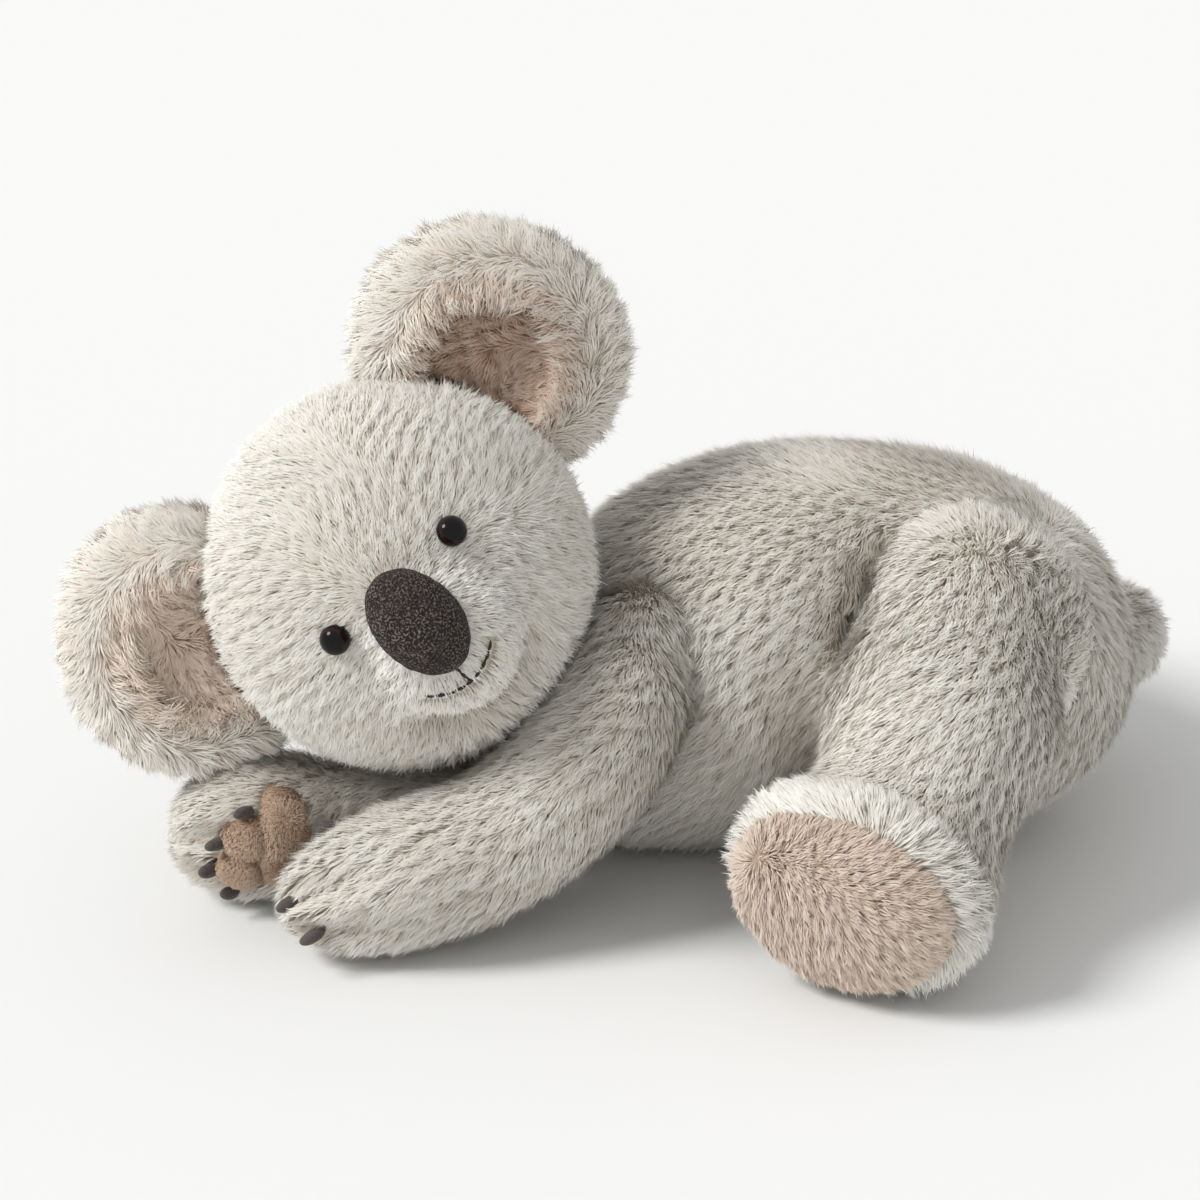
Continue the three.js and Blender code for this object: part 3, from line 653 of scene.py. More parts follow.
# a strand is a flat kite: it leaves its root, bends over along the comb and draws in to its clump
def growPile(name, skin, look, rides, material, seed):
    every = strandLook
    rng = np.random.default_rng(seed)
    root, normal, flow = scatter(skin, look["density"] * furShare, rng)
    keep = look["keep"](root)
    root, normal, flow = root[keep], normal[keep], flow[keep]
    count = len(root)
    varied = lambda key, plain: look[key](root)[:, None] if key in look else plain
    comb = look["comb"](root, normal, flow) + look["swirl"] * waves(root, look["swirlLength"], seed + 1, 6)[1]
    comb = unit(comb - normal * dot(comb, normal))
    clump, slope = waves(root, look["clump"], seed + 2)
    slope = slope - normal * dot(slope, normal)
    stray = rng.normal(size=(count, 3))
    long = look["length"] * rng.uniform(*every["lengths"], (count, 1)) * (1 + every["clumpLength"] * clump)
    long = long * varied("lengthAt", 1)
    lift = look["lift"] * (1 + every["clumpLift"] * clump) * varied("liftAt", 1)
    rise = unit(normal * lift + comb + look["stray"] * stray)
    lay = unit(normal * lift * every["fold"] + comb + look["gather"] * slope + look["stray"] * stray)
    middle = root + 0.5 * long * rise
    tip = middle + 0.5 * long * lay
    across = unit(np.cross(normal, rise)) * look["width"]
    across = across * rng.uniform(*every["widths"], (count, 1)) / furShare**0.5
    strand = np.stack([root, middle - across, middle + across, tip], 1)
    strand[..., 2] = np.maximum(strand[..., 2], every["lowest"])
    face = np.cross(across, rise)
    face = unit(face * np.sign(dot(face, normal)))
    shade = unit(face * every["ownFace"] + normal * every["skinFace"] + every["strayFace"] * stray)
    tone = 0.5 + every["clumpTone"] * clump + every["ownTone"] * rng.normal(size=(count, 1))
    tone = tone + every["patchTone"] * waves(root, every["patch"], seed + 3, 6)[0] + varied("toneAt", 0)
    tone = np.clip(tone, *every["tones"])
    uv = np.stack([tone + np.array(every["mapAcross"]), np.broadcast_to(every["mapUp"], (count, 4))], -1)
    parts = max(1, math.ceil(count / every["perMesh"]))
    for part, pick in enumerate(np.array_split(np.arange(count), parts)):
        base = 4 * np.arange(len(pick))[:, None, None]
        faces = (base + np.array([[0, 1, 2], [1, 3, 2]])).reshape(-1, 3)
        partName = f"{name}_{part + 1}" if parts > 1 else name
        piece, corners = putMesh(partName, strand[pick].reshape(-1, 3), [faces])
        layer = piece.data.uv_layers.new(name="OFBake")
        layer.data.foreach_set("uv", uv[pick].reshape(-1, 2)[corners].astype(np.float32).ravel())
        held = piece.data.attributes.new("custom_normal", "FLOAT_VECTOR", "POINT")
        held.data.foreach_set("vector", np.repeat(shade[pick], 4, axis=0).astype(np.float32).ravel())
        piece.data.materials.append(material)
        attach(piece, rides)
    print(f"{name}: {count} strands in {parts}")


# a skin as a piece on its body, in place of its solids
def putSkin(name, skin, rides, material, nodes):
    piece, _ = putMesh(name, skin["points"], [skin["quads"], skin["tris"]])
    piece.data.materials.append(material)
    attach(piece, rides)
    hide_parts(*nodes)
    return piece


# a stuffed piece: its skin and the pile that grows from it, both of one plush
def putPlush(name, skin, rides, kind, nodes, look, seed):
    cloth = plush[kind]
    putSkin(name + "_skin", skin, rides, cloth["backing"], nodes)
    growPile(name + "_pile", skin, look, rides, cloth["pile"], seed)


# clear of the limbs: not further than this inside any of their skins
def clearOfLimbs(points, room):
    return np.all([depthIn(form, points)[0] < inset + room for form in limbs.values()], axis=0)


# high enough over the floor to carry pile
def offFloor(points):
    return points[:, 2] > coverLook["pileFrom"]


# a pile has so many strands to the square millimetre, their length, lift and width, the size of the comb's
# swirls and of its clumps, and how far strands gather and stray; its fill is how firmly the piece is stuffed
# the body is combed towards the chest and down its sides
bodyPile = {
    "density": 1.8, "length": 10.5, "lift": 0.8, "width": 0.6, "swirl": 0.35, "swirlLength": 110, "clump": 6,
    "gather": 0.42, "stray": 0.14, "fill": 0.75, "limbRoom": 4, "headRoom": 1,
    "comb": lambda p, n, f: np.array([-0.75, 0.0, -0.75]),
    "keep": lambda p: (
        clearOfLimbs(p, bodyPile["limbRoom"]) & offFloor(p)
        & (depthInHead(p) < inset - bodyPile["headRoom"])),
}
putPlush("body", skins["body"], "body", "grey", ("body_cover", "body_fill"), bodyPile, 11)

# the face by degrees towards the left ear and up; a tuck is how far pile grows in under an eye or the nose
eyeLook = {
    "yaw": 23.5, "pitch": 10.8, "radius": 6.4, "stand": -2.0, "dome": 0.85, "neck": (0.97, 0.9),
    "neckStand": (-3.0, -8.0), "tuck": 3.0, "deep": 20,
}
noseLook = {
    "yaw": -1.2, "pitch": 0.8, "stand": -3.0, "halves": (18.5, 26, 15), "inset": 1, "knit": 7, "uneven": 0.12,
    "tuck": 7, "deep": 20, "fill": 0.9,
}
mouthLook = {
    "yaw": -2.6, "top": -14.5, "pitch": -21.3, "smileYaw": 11.8, "smileRise": 5.2, "smileLift": 0.9,
    "dots": 15, "lineRoom": 0.7, "smileRoom": (2.0, 2.8),
    "stand": -2.6, "radius": 0.75, "thinnest": 0.3, "stitch": 4.4, "dip": 1.6, "blunt": 12,
}
noseSpot = facePoint(noseLook["yaw"], noseLook["pitch"], noseLook["stand"])
eyeSpots = {
    side: facePoint(sign * eyeLook["yaw"], eyeLook["pitch"], 0.0)
    for side, sign in (("left", 1), ("right", -1))}


# the mouth: a line down from the nose, and a smile that rises with the square of its way out
def mouthLines(height, count=61):
    look = mouthLook
    share = np.linspace(0, 1, count)
    down = facePoint(look["yaw"] + 0 * share, look["top"] + share * (look["pitch"] - look["top"]), height)
    out = np.linspace(-1, 1, count)
    raised = height + look["smileLift"] * np.maximum(out, 0) ** 2
    yaw, pitch = look["yaw"] + out * look["smileYaw"], look["pitch"] + out**2 * look["smileRise"]
    return down, facePoint(yaw, pitch, raised)


dots = mouthLook["dots"]
mouthDots = np.vstack(mouthLines(-inset, dots))
mouthRoom = np.concatenate([np.full(dots, mouthLook["lineRoom"]), np.linspace(*mouthLook["smileRoom"], dots)])


# clear of the mouth by its room, of each eye's round and of the nose's oval, in front of the head
def offFace(p):
    free = (np.linalg.norm(p[:, None] - mouthDots, axis=2) > mouthRoom).all(1)
    for spot in eyeSpots.values():
        way = unit(spot - headCentre)
        aside = np.linalg.norm(np.cross(p - spot, way), axis=1)
        free &= (aside > eyeLook["radius"] - eyeLook["tuck"]) | ((p - spot) @ way < -eyeLook["deep"])
    local = p - noseSpot
    wide, high, _ = np.array(noseLook["halves"]) - noseLook["tuck"]
    nose = ((local @ headLeft) / wide) ** 2 + ((local @ headUp) / high) ** 2 < 1
    return free & ~(nose & (local @ facing > -noseLook["deep"]))


# out from the nose in front and down behind, with an ease between them
def headComb(p, n, f):
    behind = ease(-unit(p - headCentre) @ facing / headPile["backFade"] - headPile["backFrom"])[:, None]
    down = headPile["down"] + headPile["backDown"] * behind
    return headPile["out"] * (1 - behind) * unit(p - noseSpot) - down * np.array([0, 0, 1.0])


# shortest by the nose, and longer with the way from it
def headLength(p):
    far = ease((np.linalg.norm(p - noseSpot, axis=1) - headPile["longerFrom"]) / headPile["longerFade"])
    return headPile["shortest"] + headPile["longer"] * far


# head: combed outwards from the nose, shorter and lighter on the muzzle, with painted shade darkening the dip
# under the chin
headPile = {
    "density": 2.24, "length": 10, "lift": 0.8, "width": 0.57, "swirl": 0.45, "swirlLength": 60, "clump": 5.5,
    "gather": 0.42, "stray": 0.14, "fill": 0.85, "out": 0.75, "down": 0.35, "backDown": 0.5,
    "backFrom": 0.1, "backFade": 0.7, "bodyRoom": 1, "shortest": 0.55, "longer": 0.45, "longerFrom": 22,
    "longerFade": 45, "tone": 0.05, "riseToneAndChinShade": 0.03, "comb": headComb, "lengthAt": headLength,
    "keep": lambda p: offFace(p) & (depthIn(body, p)[0] < inset - headPile["bodyRoom"]),
    # the tone follows the head's height: lighter on the muzzle, and darker in the dip under the chin as
    # painted shade
    "toneAt": lambda p: (
        headPile["tone"] + headPile["riseToneAndChinShade"] * np.clip(muzzleRise(unit(p - headCentre)), -6, 6)),
}
putPlush("head", skins["head"], "head", "grey", ("head_cover", "head_fill"), headPile, 21)


# nose: an egg with the knit's own slight unevenness, a wave field
def noseSkin(rows=70, cols=110):
    tilt, turn = tiltsOf(rows), turnsOf(cols)
    way = np.stack([
        np.outer(np.sin(tilt), np.cos(turn)), np.outer(np.sin(tilt), np.sin(turn)),
        np.outer(np.cos(tilt), np.ones(cols))], -1)
    way = np.concatenate([[[0, 0, 1.0]], way.reshape(-1, 3), [[0, 0, -1.0]]])
    halves = np.array(noseLook["halves"]) - noseLook["inset"]
    axes = np.stack([headLeft, headUp, facing]) * halves[:, None]
    egg = noseSpot + way @ axes
    out = unit(way @ (axes / (np.linalg.norm(axes, axis=1, keepdims=True) ** 2)))
    points = egg + out * waves(egg, noseLook["knit"], 5)[0] * noseLook["uneven"]
    return skinOf(points[0], points[1:-1].reshape(rows - 1, cols, 3), points[-1])


knitLook = {
    "loops": 1150, "wear": 60, "worn": srgb(52, 46, 44), "bump": 0.8, "deep": 0.0012,
    "tones": ((0.38, srgb(26, 22, 21)), (0.52, srgb(62, 55, 52)), (0.66, srgb(152, 141, 135))),
    "shader": {"Roughness": 0.9, "Specular IOR Level": 0.15},
}


# knit: small loops raised by a bump and coloured by the same field, light where raised and dark between,
# partly painted light on the loops and painted shade in the hollows, with patches of more and less wear
def knitMaterial(look):
    material, tree, shader = newMaterial("noseKnit")
    loops = noise(tree, look["loops"], 1)
    tones = ramp(tree, loops, look["tones"])
    worn = mixColour(tree, noise(tree, look["wear"]), tones, look["worn"])
    tree.links.new(worn, shader.inputs["Base Color"])
    bumpFrom(tree, shader, loops, look["bump"], look["deep"])
    setSockets(shader, look["shader"])
    return material


noseKnit = knitMaterial(knitLook)
putSkin("nose_skin", noseSkin(), "head", noseKnit, ("nose_cover", "nose_fill"))
print("nose ready")


glossLook = {
    "tones": (
        (0.0, srgb(6, 5, 5)), (0.76, srgb(8, 6, 6)), (0.85, srgb(46, 20, 13)), (0.92, srgb(40, 17, 11)),
        (0.98, srgb(9, 6, 6))),
    "haze": 900, "polish": {"To Min": 0.1, "To Max": 0.2},
    "shader": {"Specular IOR Level": 0.1, "Coat Weight": 0.2, "Coat Roughness": 0.04},
}


# eyes: nearly black, with a thin brown ring near the edge and a polish that varies a little
def eyeMaterial(look):
    material, tree, shader = newMaterial("eyeGloss")
    ring, polish = tree.nodes.new("ShaderNodeAttribute"), tree.nodes.new("ShaderNodeMapRange")
    ring.attribute_name = "ring"
    tree.links.new(ramp(tree, ring.outputs["Fac"], look["tones"]), shader.inputs["Base Color"])
    setSockets(polish, look["polish"])
    tree.links.new(noise(tree, look["haze"]), polish.inputs["Value"])
    tree.links.new(polish.outputs[0], shader.inputs["Roughness"])
    setSockets(shader, look["shader"])
    return material


# an eye: a flattened dome over a straight neck; its ring value is the sine of the dome's angle
eyeGloss = eyeMaterial(glossLook)
for side, spot in eyeSpots.items():
    way = unit(spot - headCentre)
    wide = unit(np.cross(headUp, way))
    turn, tilt = turnsOf(40), np.linspace(0, np.pi / 2, 16)[1:]
    top = eyeLook["radius"] * eyeLook["dome"]
    reach = eyeLook["radius"] * np.append(np.sin(tilt), eyeLook["neck"])
    stand = np.append(eyeLook["stand"] + top * np.cos(tilt), eyeLook["neckStand"])
    circle = circleOf(turn, wide, np.cross(way, wide))
    rings = spot + stand[:, None, None] * way + reach[:, None, None] * circle
    skin = skinOf(spot + way * (eyeLook["stand"] + top), rings, spot + way * stand[-1])
    eye = putSkin(side + "_eye_dome", skin, "head", eyeGloss, (side + "_eye",))
    ringShare = np.concatenate([[0], np.repeat(np.append(np.sin(tilt), [1, 1]), len(turn)), [1]])
    held = eye.data.attributes.new("ring", "FLOAT", "POINT")
    held.data.foreach_set("value", ringShare.astype(np.float32))
print("eyes ready")

# stitches: a thread of dark fibres that thins and dips where it goes back through the cloth, once a stitch
threadLook = {
    "patch": 1400, "dark": srgb(14, 12, 12), "light": srgb(52, 46, 44),
    "grain": 2200, "bump": 0.5, "deep": 0.0003, "shader": {"Roughness": 0.7},
}
mouthThread = grainMaterial("mouthThread", threadLook)
for name, line in zip(("mouth_line", "mouth_smile"), mouthLines(mouthLook["stand"])):
    path, length = spinePath(line[::6], 120)
    run = np.linspace(0, length, len(path))
    arch = np.abs(np.sin(np.pi * run / mouthLook["stitch"])) ** 0.5
    path = path - facing * mouthLook["dip"] * (1 - arch)[:, None]
    thick = mouthLook["radius"] * (mouthLook["thinnest"] + (1 - mouthLook["thinnest"]) * arch)
    thick = thick * endRounding(run / length, mouthLook["blunt"], mouthLook["blunt"])
    form = makeForm(path, thick, 1.0, facing)
    putSkin(name, ringsOf(form, 100, 12), "head", mouthThread, ("mouth_stitching",))
print("mouth ready")


# places on a limb by parallel rays from points inside it: the last of many steps that is still inside
def surfaceAlong(form, start, way, far=110, steps=140):
    reach = np.linspace(1, far, steps)
    points = (start[:, None] + way * reach[:, None]).reshape(-1, 3)
    depth = depthIn(form, points)[0].reshape(len(start), steps)
    last = np.clip(steps - 1 - np.argmax(depth[:, ::-1] > 0, axis=1), 0, steps - 2)
    row = np.arange(len(start))
    d0, d1 = depth[row, last], depth[row, last + 1]
    return reach[last] + (reach[1] - reach[0]) * d0 / np.maximum(d0 - d1, 1e-6)


# a pad's own frame: a point inside the limb, the way it faces, its long way and its half sizes
def padFrame(base, way, longWay, halves):
    way = unit(np.array(way, float))
    across = unit(np.array(longWay, float) - way * np.dot(longWay, way))
    return {"base": base, "way": way, "across": across, "over": np.cross(way, across), "halves": halves}


# how far out on a pad's oval a point lies, 1 at the sewn edge
def padShare(pad, p):
    local = p - pad["base"]
    wide, high = pad["halves"]
    return np.sqrt((local @ pad["across"] / wide) ** 2 + (local @ pad["over"] / high) ** 2)


# within a pad's oval and on its side of the limb
def inPad(pad, p):
    return (padShare(pad, p) < 1) & ((p - pad["base"]) @ pad["way"] > 0)


# a pad on a limb: an oval whose height over the cloth stays near its crown and falls at the sewn edge
def padSkin(form, pad, look, rows, cols):
    share = np.arange(rows + 1) / rows
    turn = turnsOf(cols)
    wide, high = pad["halves"]
    oval = wide * np.cos(turn)[:, None] * pad["across"] + high * np.sin(turn)[:, None] * pad["over"]
    inner = pad["base"] + share[:, None, None] * oval
    surface = surfaceAlong(form, inner.reshape(-1, 3), pad["way"]).reshape(rows + 1, cols)
    height = -inset + (inset + look["crown"]) * np.sqrt(np.maximum(0, 1 - share ** look["edge"]))[:, None]
    front = inner + pad["way"] * (surface + height)[..., None]
    back = inner + pad["way"] * (surface - inset - look["tucked"])[..., None]
    rings = np.concatenate([front[1:], back[:0:-1]])
    rings[..., 2] = np.maximum(rings[..., 2], coverLook["lowest"])
    return skinOf(front[0, 0], rings, back[0, 0])


# pads and claws by the way that each faces from the middle of its paw, as sewn
pawLook = {
    "left": {
        "claws": ((-0.52, -0.72, -0.3), (-0.88, -0.42, 0.02), (-0.83, 0.5, 0), (-0.4, 0.6, 0.7)),
        "clawPoint": (-0.85, -0.3, -0.4), "long": (0, 0, 1),
        "palm": (0.5, 0.8, -0.2), "fingers": ((0.05, 0.8, 0.5), (-0.05, 0.8, -0.6))},
    "right": {
        "claws": ((0.02, -0.8, 0.6), (-0.36, -0.9, 0.18), (-0.48, -0.84, -0.24), (-0.22, -0.78, -0.6)),
        "clawPoint": (-0.66, -0.74, 0.1), "long": (0.3, 0, 1),
        "palm": (0.53, -0.81, 0.25), "fingers": ((0, -0.97, 0.24), (-0.1, -0.97, -0.26))},
    "palmHalves": (21.5, 11.2), "fingerHalves": (9.4, 10.4),
}
clawLook = {
    "radius": 3.6, "length": 13.5, "sink": 11.5, "taper": 0.35, "root": 2.2, "tip": 4, "squat": 0.85,
    "patch": 700, "dark": srgb(42, 36, 34), "light": srgb(98, 88, 84), "grain": 1500, "bump": 0.7,
    "deep": 0.0005, "shader": {"Roughness": 0.75, "Sheen Weight": 0.2},
}
# pads: the pile darkens towards each sewn edge as painted shade in the crease between pads
palmPad = {
    "crown": -0.2, "edge": 4, "tucked": 1.5, "seamFrom": 0.78, "seamFade": 0.2, "seamShadeTone": -0.5,
    "density": 4.4, "length": 1.8, "lift": 1.0, "width": 0.48, "swirl": 0.5, "swirlLength": 20, "clump": 1.8,
    "gather": 0.35, "stray": 0.25, "fill": 0.6, "room": 0.5,
    "comb": lambda p, n, f: np.array([-0.3, 0.0, -0.6]),
}
solePad = {
    "halves": (47, 35.5), "crown": 0.2, "edge": 8, "tucked": 1.5, "behind": 60, "rise": 1,
    "density": 3.0, "length": 8, "lift": 0.65, "width": 0.53, "swirl": 0.15, "swirlLength": 60, "clump": 4.5,
    "gather": 0.5, "stray": 0.12, "fill": 0.7, "lie": np.array([0.8, 0.0, -0.65]), "over": 1.2,
}
clawFelt = grainMaterial("clawFelt", clawLook)


# the middle of a paw: the spine's point that lies this far back from its tip
def backFromTip(form, distance):
    run = np.cumsum(np.linalg.norm(np.diff(form["path"], axis=0), axis=1)[::-1])
    return form["path"][-2 - int(np.searchsorted(run, distance))]


# the pads of each limb by name
def padsOf(limb):
    form, side = limbs[limb], limb.split("_")[0]
    if limb.endswith("leg"):
        way = form["tangent"][-1]
        base = form["path"][-1] - way * solePad["behind"] + np.array([0, 0, solePad["rise"]])
        return {"sole": padFrame(base, way, form["side"][-1], solePad["halves"])}
    if limb.endswith("arm"):
        paw = pawLook[side]
        middle = backFromTip(form, armShape[side]["paw"])
        pads = {"palm_pad": padFrame(middle, paw["palm"], paw["long"], pawLook["palmHalves"])}
        for number, way in enumerate(paw["fingers"]):
            pads[f"finger_pad_{number + 1}"] = padFrame(middle, way, paw["long"], pawLook["fingerHalves"])
        return pads
    return {}


# claws: each leaves the paw its own way, bends to the way that all point and thins with the square of the
# way along it
def addClaws(limb, side):
    paw, radius = pawLook[side], armShape[side]["paw"]
    middle = backFromTip(limbs[limb], radius)
    point = unit(np.array(paw["clawPoint"]))
    half = clawLook["length"] / 2
    for number, direction in enumerate(paw["claws"]):
        way = unit(np.array(direction))
        base = middle + way * (radius - clawLook["sink"])
        path, _ = spinePath([base, base + way * half, base + way * half + point * half], 60)
        u = np.linspace(0, 1, len(path))
        rounding = endRounding(u, clawLook["root"], clawLook["tip"])
        thick = clawLook["radius"] * (1 - clawLook["taper"] * u**2) * rounding
        claw = ringsOf(makeForm(path, thick, clawLook["squat"], np.cross(way, point)), 24, 24)
        claw["points"][:, 2] = np.maximum(claw["points"][:, 2], coverLook["lowest"])
        name = f"{side}_claw_{number + 1}"
        putSkin(name + "_felt", withNormals(claw), limb, clawFelt, (name,))


# a limb's pile is combed along it with a little droop, and leaves its pads free
limbPile = {
    "density": 1.98, "length": 9.5, "lift": 0.75, "width": 0.58, "swirl": 0.3, "swirlLength": 70,
    "clump": 5.5, "gather": 0.42, "stray": 0.14, "fill": 0.8, "bodyRoom": 4, "headRoom": 1.5,
    "comb": lambda p, n, f: f + np.array([0, 0, -0.35]),
}
legPile = {
    "footFrom": 0.7, "footFade": 0.2, "seamFrom": 22, "seamFade": 16, "mingle": 0.45, "mingleLength": 4,
    "turnBack": 1.8, "droop": np.array([-0.4, 0, -0.35]), "footTone": 0.24, "seamPaintedLight": 0.12, "rootRoom": 30,
    "footLonger": 0.2, "footLift": 0.5,
}
# painted shade in the grooves between the fingers, and shorter pile there
grooveShadeAndPile = {"tone": -0.4, "shorter": 0.45}
tailPile = {
    "lift": 1.8, "comb": lambda p, n, f: 0.5 * f + np.array([0, 0, -0.5]),
    "toneAt": lambda p: np.full(len(p), 0.25),
}


# a leg's pile turns back over its seam and from its sole, where it is longer and lighter, and it is painted
# lighter behind its root against the shade of the seam's crease; the turn at the seam is mingled by short
# waves so that no parting shows
def legLook(limb, form):
    leg = legPile
    atFoot = lambda p: ease((depthIn(form, p)[1] - leg["footFrom"]) / leg["footFade"])
    mingled = lambda p: leg["mingle"] * np.clip(waves(p, leg["mingleLength"], 7)[0][:, 0], -1, 1)
    within = lambda p: (depthIn(body, p)[0] + leg["seamFrom"]) / leg["seamFade"] + mingled(p)
    atSeam = lambda p: ease(within(p) / 0.5 - 0.5) * behindRoot(limb, p)
    turned = lambda p: (1 - leg["turnBack"] * np.maximum(atFoot(p), atSeam(p)))[:, None]
    # painted light: lighter behind the root near the seam, against the shade of its crease
    paintedLightAtRoot = lambda p: leg["seamPaintedLight"] * behindRoot(limb, p) * nearRoot(limb, p, leg["rootRoom"])
    return {
        "comb": lambda p, n, f: f * turned(p) + leg["droop"],
        "toneAt": lambda p: leg["footTone"] * atFoot(p) + paintedLightAtRoot(p),
        "lengthAt": lambda p: 1 + leg["footLonger"] * atFoot(p),
        "liftAt": lambda p: 1 + leg["footLift"] * atFoot(p),
    }


# an arm's pile is shorter in the grooves between its fingers, and darker there as painted shade
def armLook(side, form):
    return {
        "toneAt": lambda p: grooveShadeAndPile["tone"] * grooveAt(form, side, p),
        "lengthAt": lambda p: 1 - grooveShadeAndPile["shorter"] * np.minimum(grooveAt(form, side, p), 1),
    }


for number, (limb, form) in enumerate(limbs.items()):
    pads, side, kind = padsOf(limb), limb.split("_")[0], limb.split("_")[-1]

    # clear of the body's inside, the head, the floor and the pads
    def bare(p):
        free = depthIn(body, p)[0] < inset + limbPile["bodyRoom"] + joins[limb]["pull"]
        free &= (depthInHead(p) < inset - limbPile["headRoom"]) & offFloor(p)
        for pad in pads.values():
            free &= ~inPad(pad, p)
        return free

    own = tailPile
    if kind == "leg":
        own = legLook(limb, form)
    if kind == "arm":
        own = armLook(side, form)
    nodes = (limb + "_cover", limb + "_fill")
    putPlush(limb, skins[limb], limb, "grey", nodes, dict(limbPile, keep=bare, **own), 31 + 10 * number)
    outside = lambda p: offFloor(p) & (depthIn(form, p)[0] < inset - palmPad["room"])
    for place, (name, pad) in enumerate(pads.items()):
        if name == "sole":
            skin = padSkin(form, pad, solePad, 36, 96)
            over = lambda p, n, f: solePad["lie"] - solePad["over"] * pad["way"]  # back over the sewn edge
            look = dict(solePad, keep=outside, comb=over)
            putPlush(f"{side}_sole", skin, limb, "sole", (f"{side}_sole_pad",), look, 340 + number)
        else:
            skin = padSkin(form, pad, palmPad, 18, 56)
            # painted shade: darker towards the pad's sewn edge
            shadeAtEdge = lambda p: ease((padShare(pad, p) - palmPad["seamFrom"]) / palmPad["seamFade"])
            look = dict(palmPad, keep=outside, toneAt=lambda p: palmPad["seamShadeTone"] * shadeAtEdge(p))
            seed = 300 + 10 * place + number
            putPlush(f"{side}_{name}", skin, limb, "palm", (f"{side}_{name}",), look, seed)
    if kind == "arm":
        addClaws(limb, side)

earShape = {
    "out": 93, "rise": 41, "back": 12, "wide": 61, "high": 56, "deep": 25, "fullness": 2.4, "inset": 6.5,
    "drawn": {"left": 0, "right": 7}, "dishDeep": {"left": 16, "right": 9}, "dishWide": 32, "dishHigh": 31,
    "dishForward": 16, "dishLower": 7, "dishGap": 3, "dishTilt": 87, "rim": (0.69, 0.97), "rimTurn": 1.36,
    "levelFrom": 0.66, "levelFade": 0.25, "poleTurn": 0.06, "headRoom": 2,
}
liningShape = {"front": 0.8, "back": 2.2, "tilt": 86, "headRoom": 2.5}
earPile = {
    "density": 2.0, "length": 12, "lift": 0.8, "width": 0.63, "swirl": 0.25, "swirlLength": 45, "clump": 7,
    "gather": 0.7, "stray": 0.14, "fill": 0.7, "fallFrom": 0.8, "fallFade": 0.1, "turn": 0.5,
    "dishEdge": 1.08, "backEdge": -6, "headRoom": 1, "tone": 0.35, "innerTone": 0.6, "innerFrom": 0.82,
    "innerFade": 0.14,
}
# the lining's tone is painted light on the right ear and painted shade on the left: lit and shaded copies of
# one pink
liningPile = {
    "density": 2.6, "length": 9, "lift": 1.0, "width": 0.58, "swirl": 0.4, "swirlLength": 38, "clump": 6,
    "gather": 0.8, "stray": 0.14, "fill": 0.3, "out": 0.5, "across": 0.7, "down": 0.4, "over": 1.5,
    "tone": {"left": -0.1, "right": 0.47},
}


# an ear's own frame: its middle, the way across it, the way out from the head and the depth of its dish
def earFrame(side, sign):
    out = sign * earShape["out"] * headLeft + earShape["rise"] * headUp
    outward = unit(out)
    middle = headCentre + out - earShape["drawn"][side] * outward - earShape["back"] * facing
    across = np.cross(facing, outward)
    return {"middle": middle, "across": across, "outward": outward, "deep": earShape["dishDeep"][side]}


# points of rings that share a frame: half width, half height, a lowering and a forward place for each row
def earRings(ear, wide, high, lower, forward, cols=96):
    turn = turnsOf(cols)[:, None]
    rings = ear["middle"] + forward[:, None, None] * facing - lower[:, None, None] * ear["outward"]
    rings = rings + wide[:, None, None] * np.cos(turn) * ear["across"]
    return rings + high[:, None, None] * np.sin(turn) * ear["outward"]


# the ear: from the bottom of its dish up the wall, over the rim and round the back
def earSkin(ear):
    e, gap = earShape, earShape["dishGap"]
    wideHalf, highHalf, deepHalf = (e[key] - e["inset"] for key in ("wide", "high", "deep"))
    tilt = np.radians(np.linspace(0, e["dishTilt"], 20)[1:])
    rim = np.concatenate([np.linspace(*e["rim"], 12), np.sin(np.linspace(e["rimTurn"], np.pi / 2, 5))])
    back = np.sin(np.linspace(np.pi / 2, e["poleTurn"], 26))[1:]
    bulge = lambda share: deepHalf * np.maximum(0, 1 - share**2) ** (1 / e["fullness"])
    wide = np.concatenate([(e["dishWide"] + gap) * np.sin(tilt), wideHalf * rim, wideHalf * back])
    high = np.concatenate([(e["dishHigh"] + gap) * np.sin(tilt), highHalf * rim, highHalf * back])
    level = e["dishLower"] * (1 - ease((rim - e["levelFrom"]) / e["levelFade"]))
    lower = np.concatenate([np.full(len(tilt), e["dishLower"]), level, 0 * back])
    wall = e["dishForward"] - (ear["deep"] + gap) * np.cos(tilt)
    forward = np.concatenate([wall, bulge(rim), -bulge(back)])
    start = ear["middle"] + (e["dishForward"] - ear["deep"] - gap) * facing - e["dishLower"] * ear["outward"]
    rings = earRings(ear, wide, high, lower, forward)
    return outOfHead(skinOf(start, rings, ear["middle"] - deepHalf * facing), e["headRoom"])


# the lining: a thin shell in the dish, its front a little behind the dish's own shape
def liningSkin(ear):
    e, front, back = earShape, liningShape["front"], liningShape["back"]
    tilt = np.radians(np.linspace(0, liningShape["tilt"], 22)[1:])
    rows = []
    for grow, angle in ((front, tilt), (back, tilt[::-1])):
        rows.append(earRings(
            ear, (e["dishWide"] + grow) * np.sin(angle), (e["dishHigh"] + grow) * np.sin(angle),
            np.full(len(angle), e["dishLower"]), e["dishForward"] - (ear["deep"] + grow) * np.cos(angle)))
    middle = ear["middle"] - e["dishLower"] * ear["outward"] + (e["dishForward"] - ear["deep"]) * facing
    skin = skinOf(middle - front * facing, np.concatenate(rows), middle - back * facing)
    return outOfHead(skin, liningShape["headRoom"])


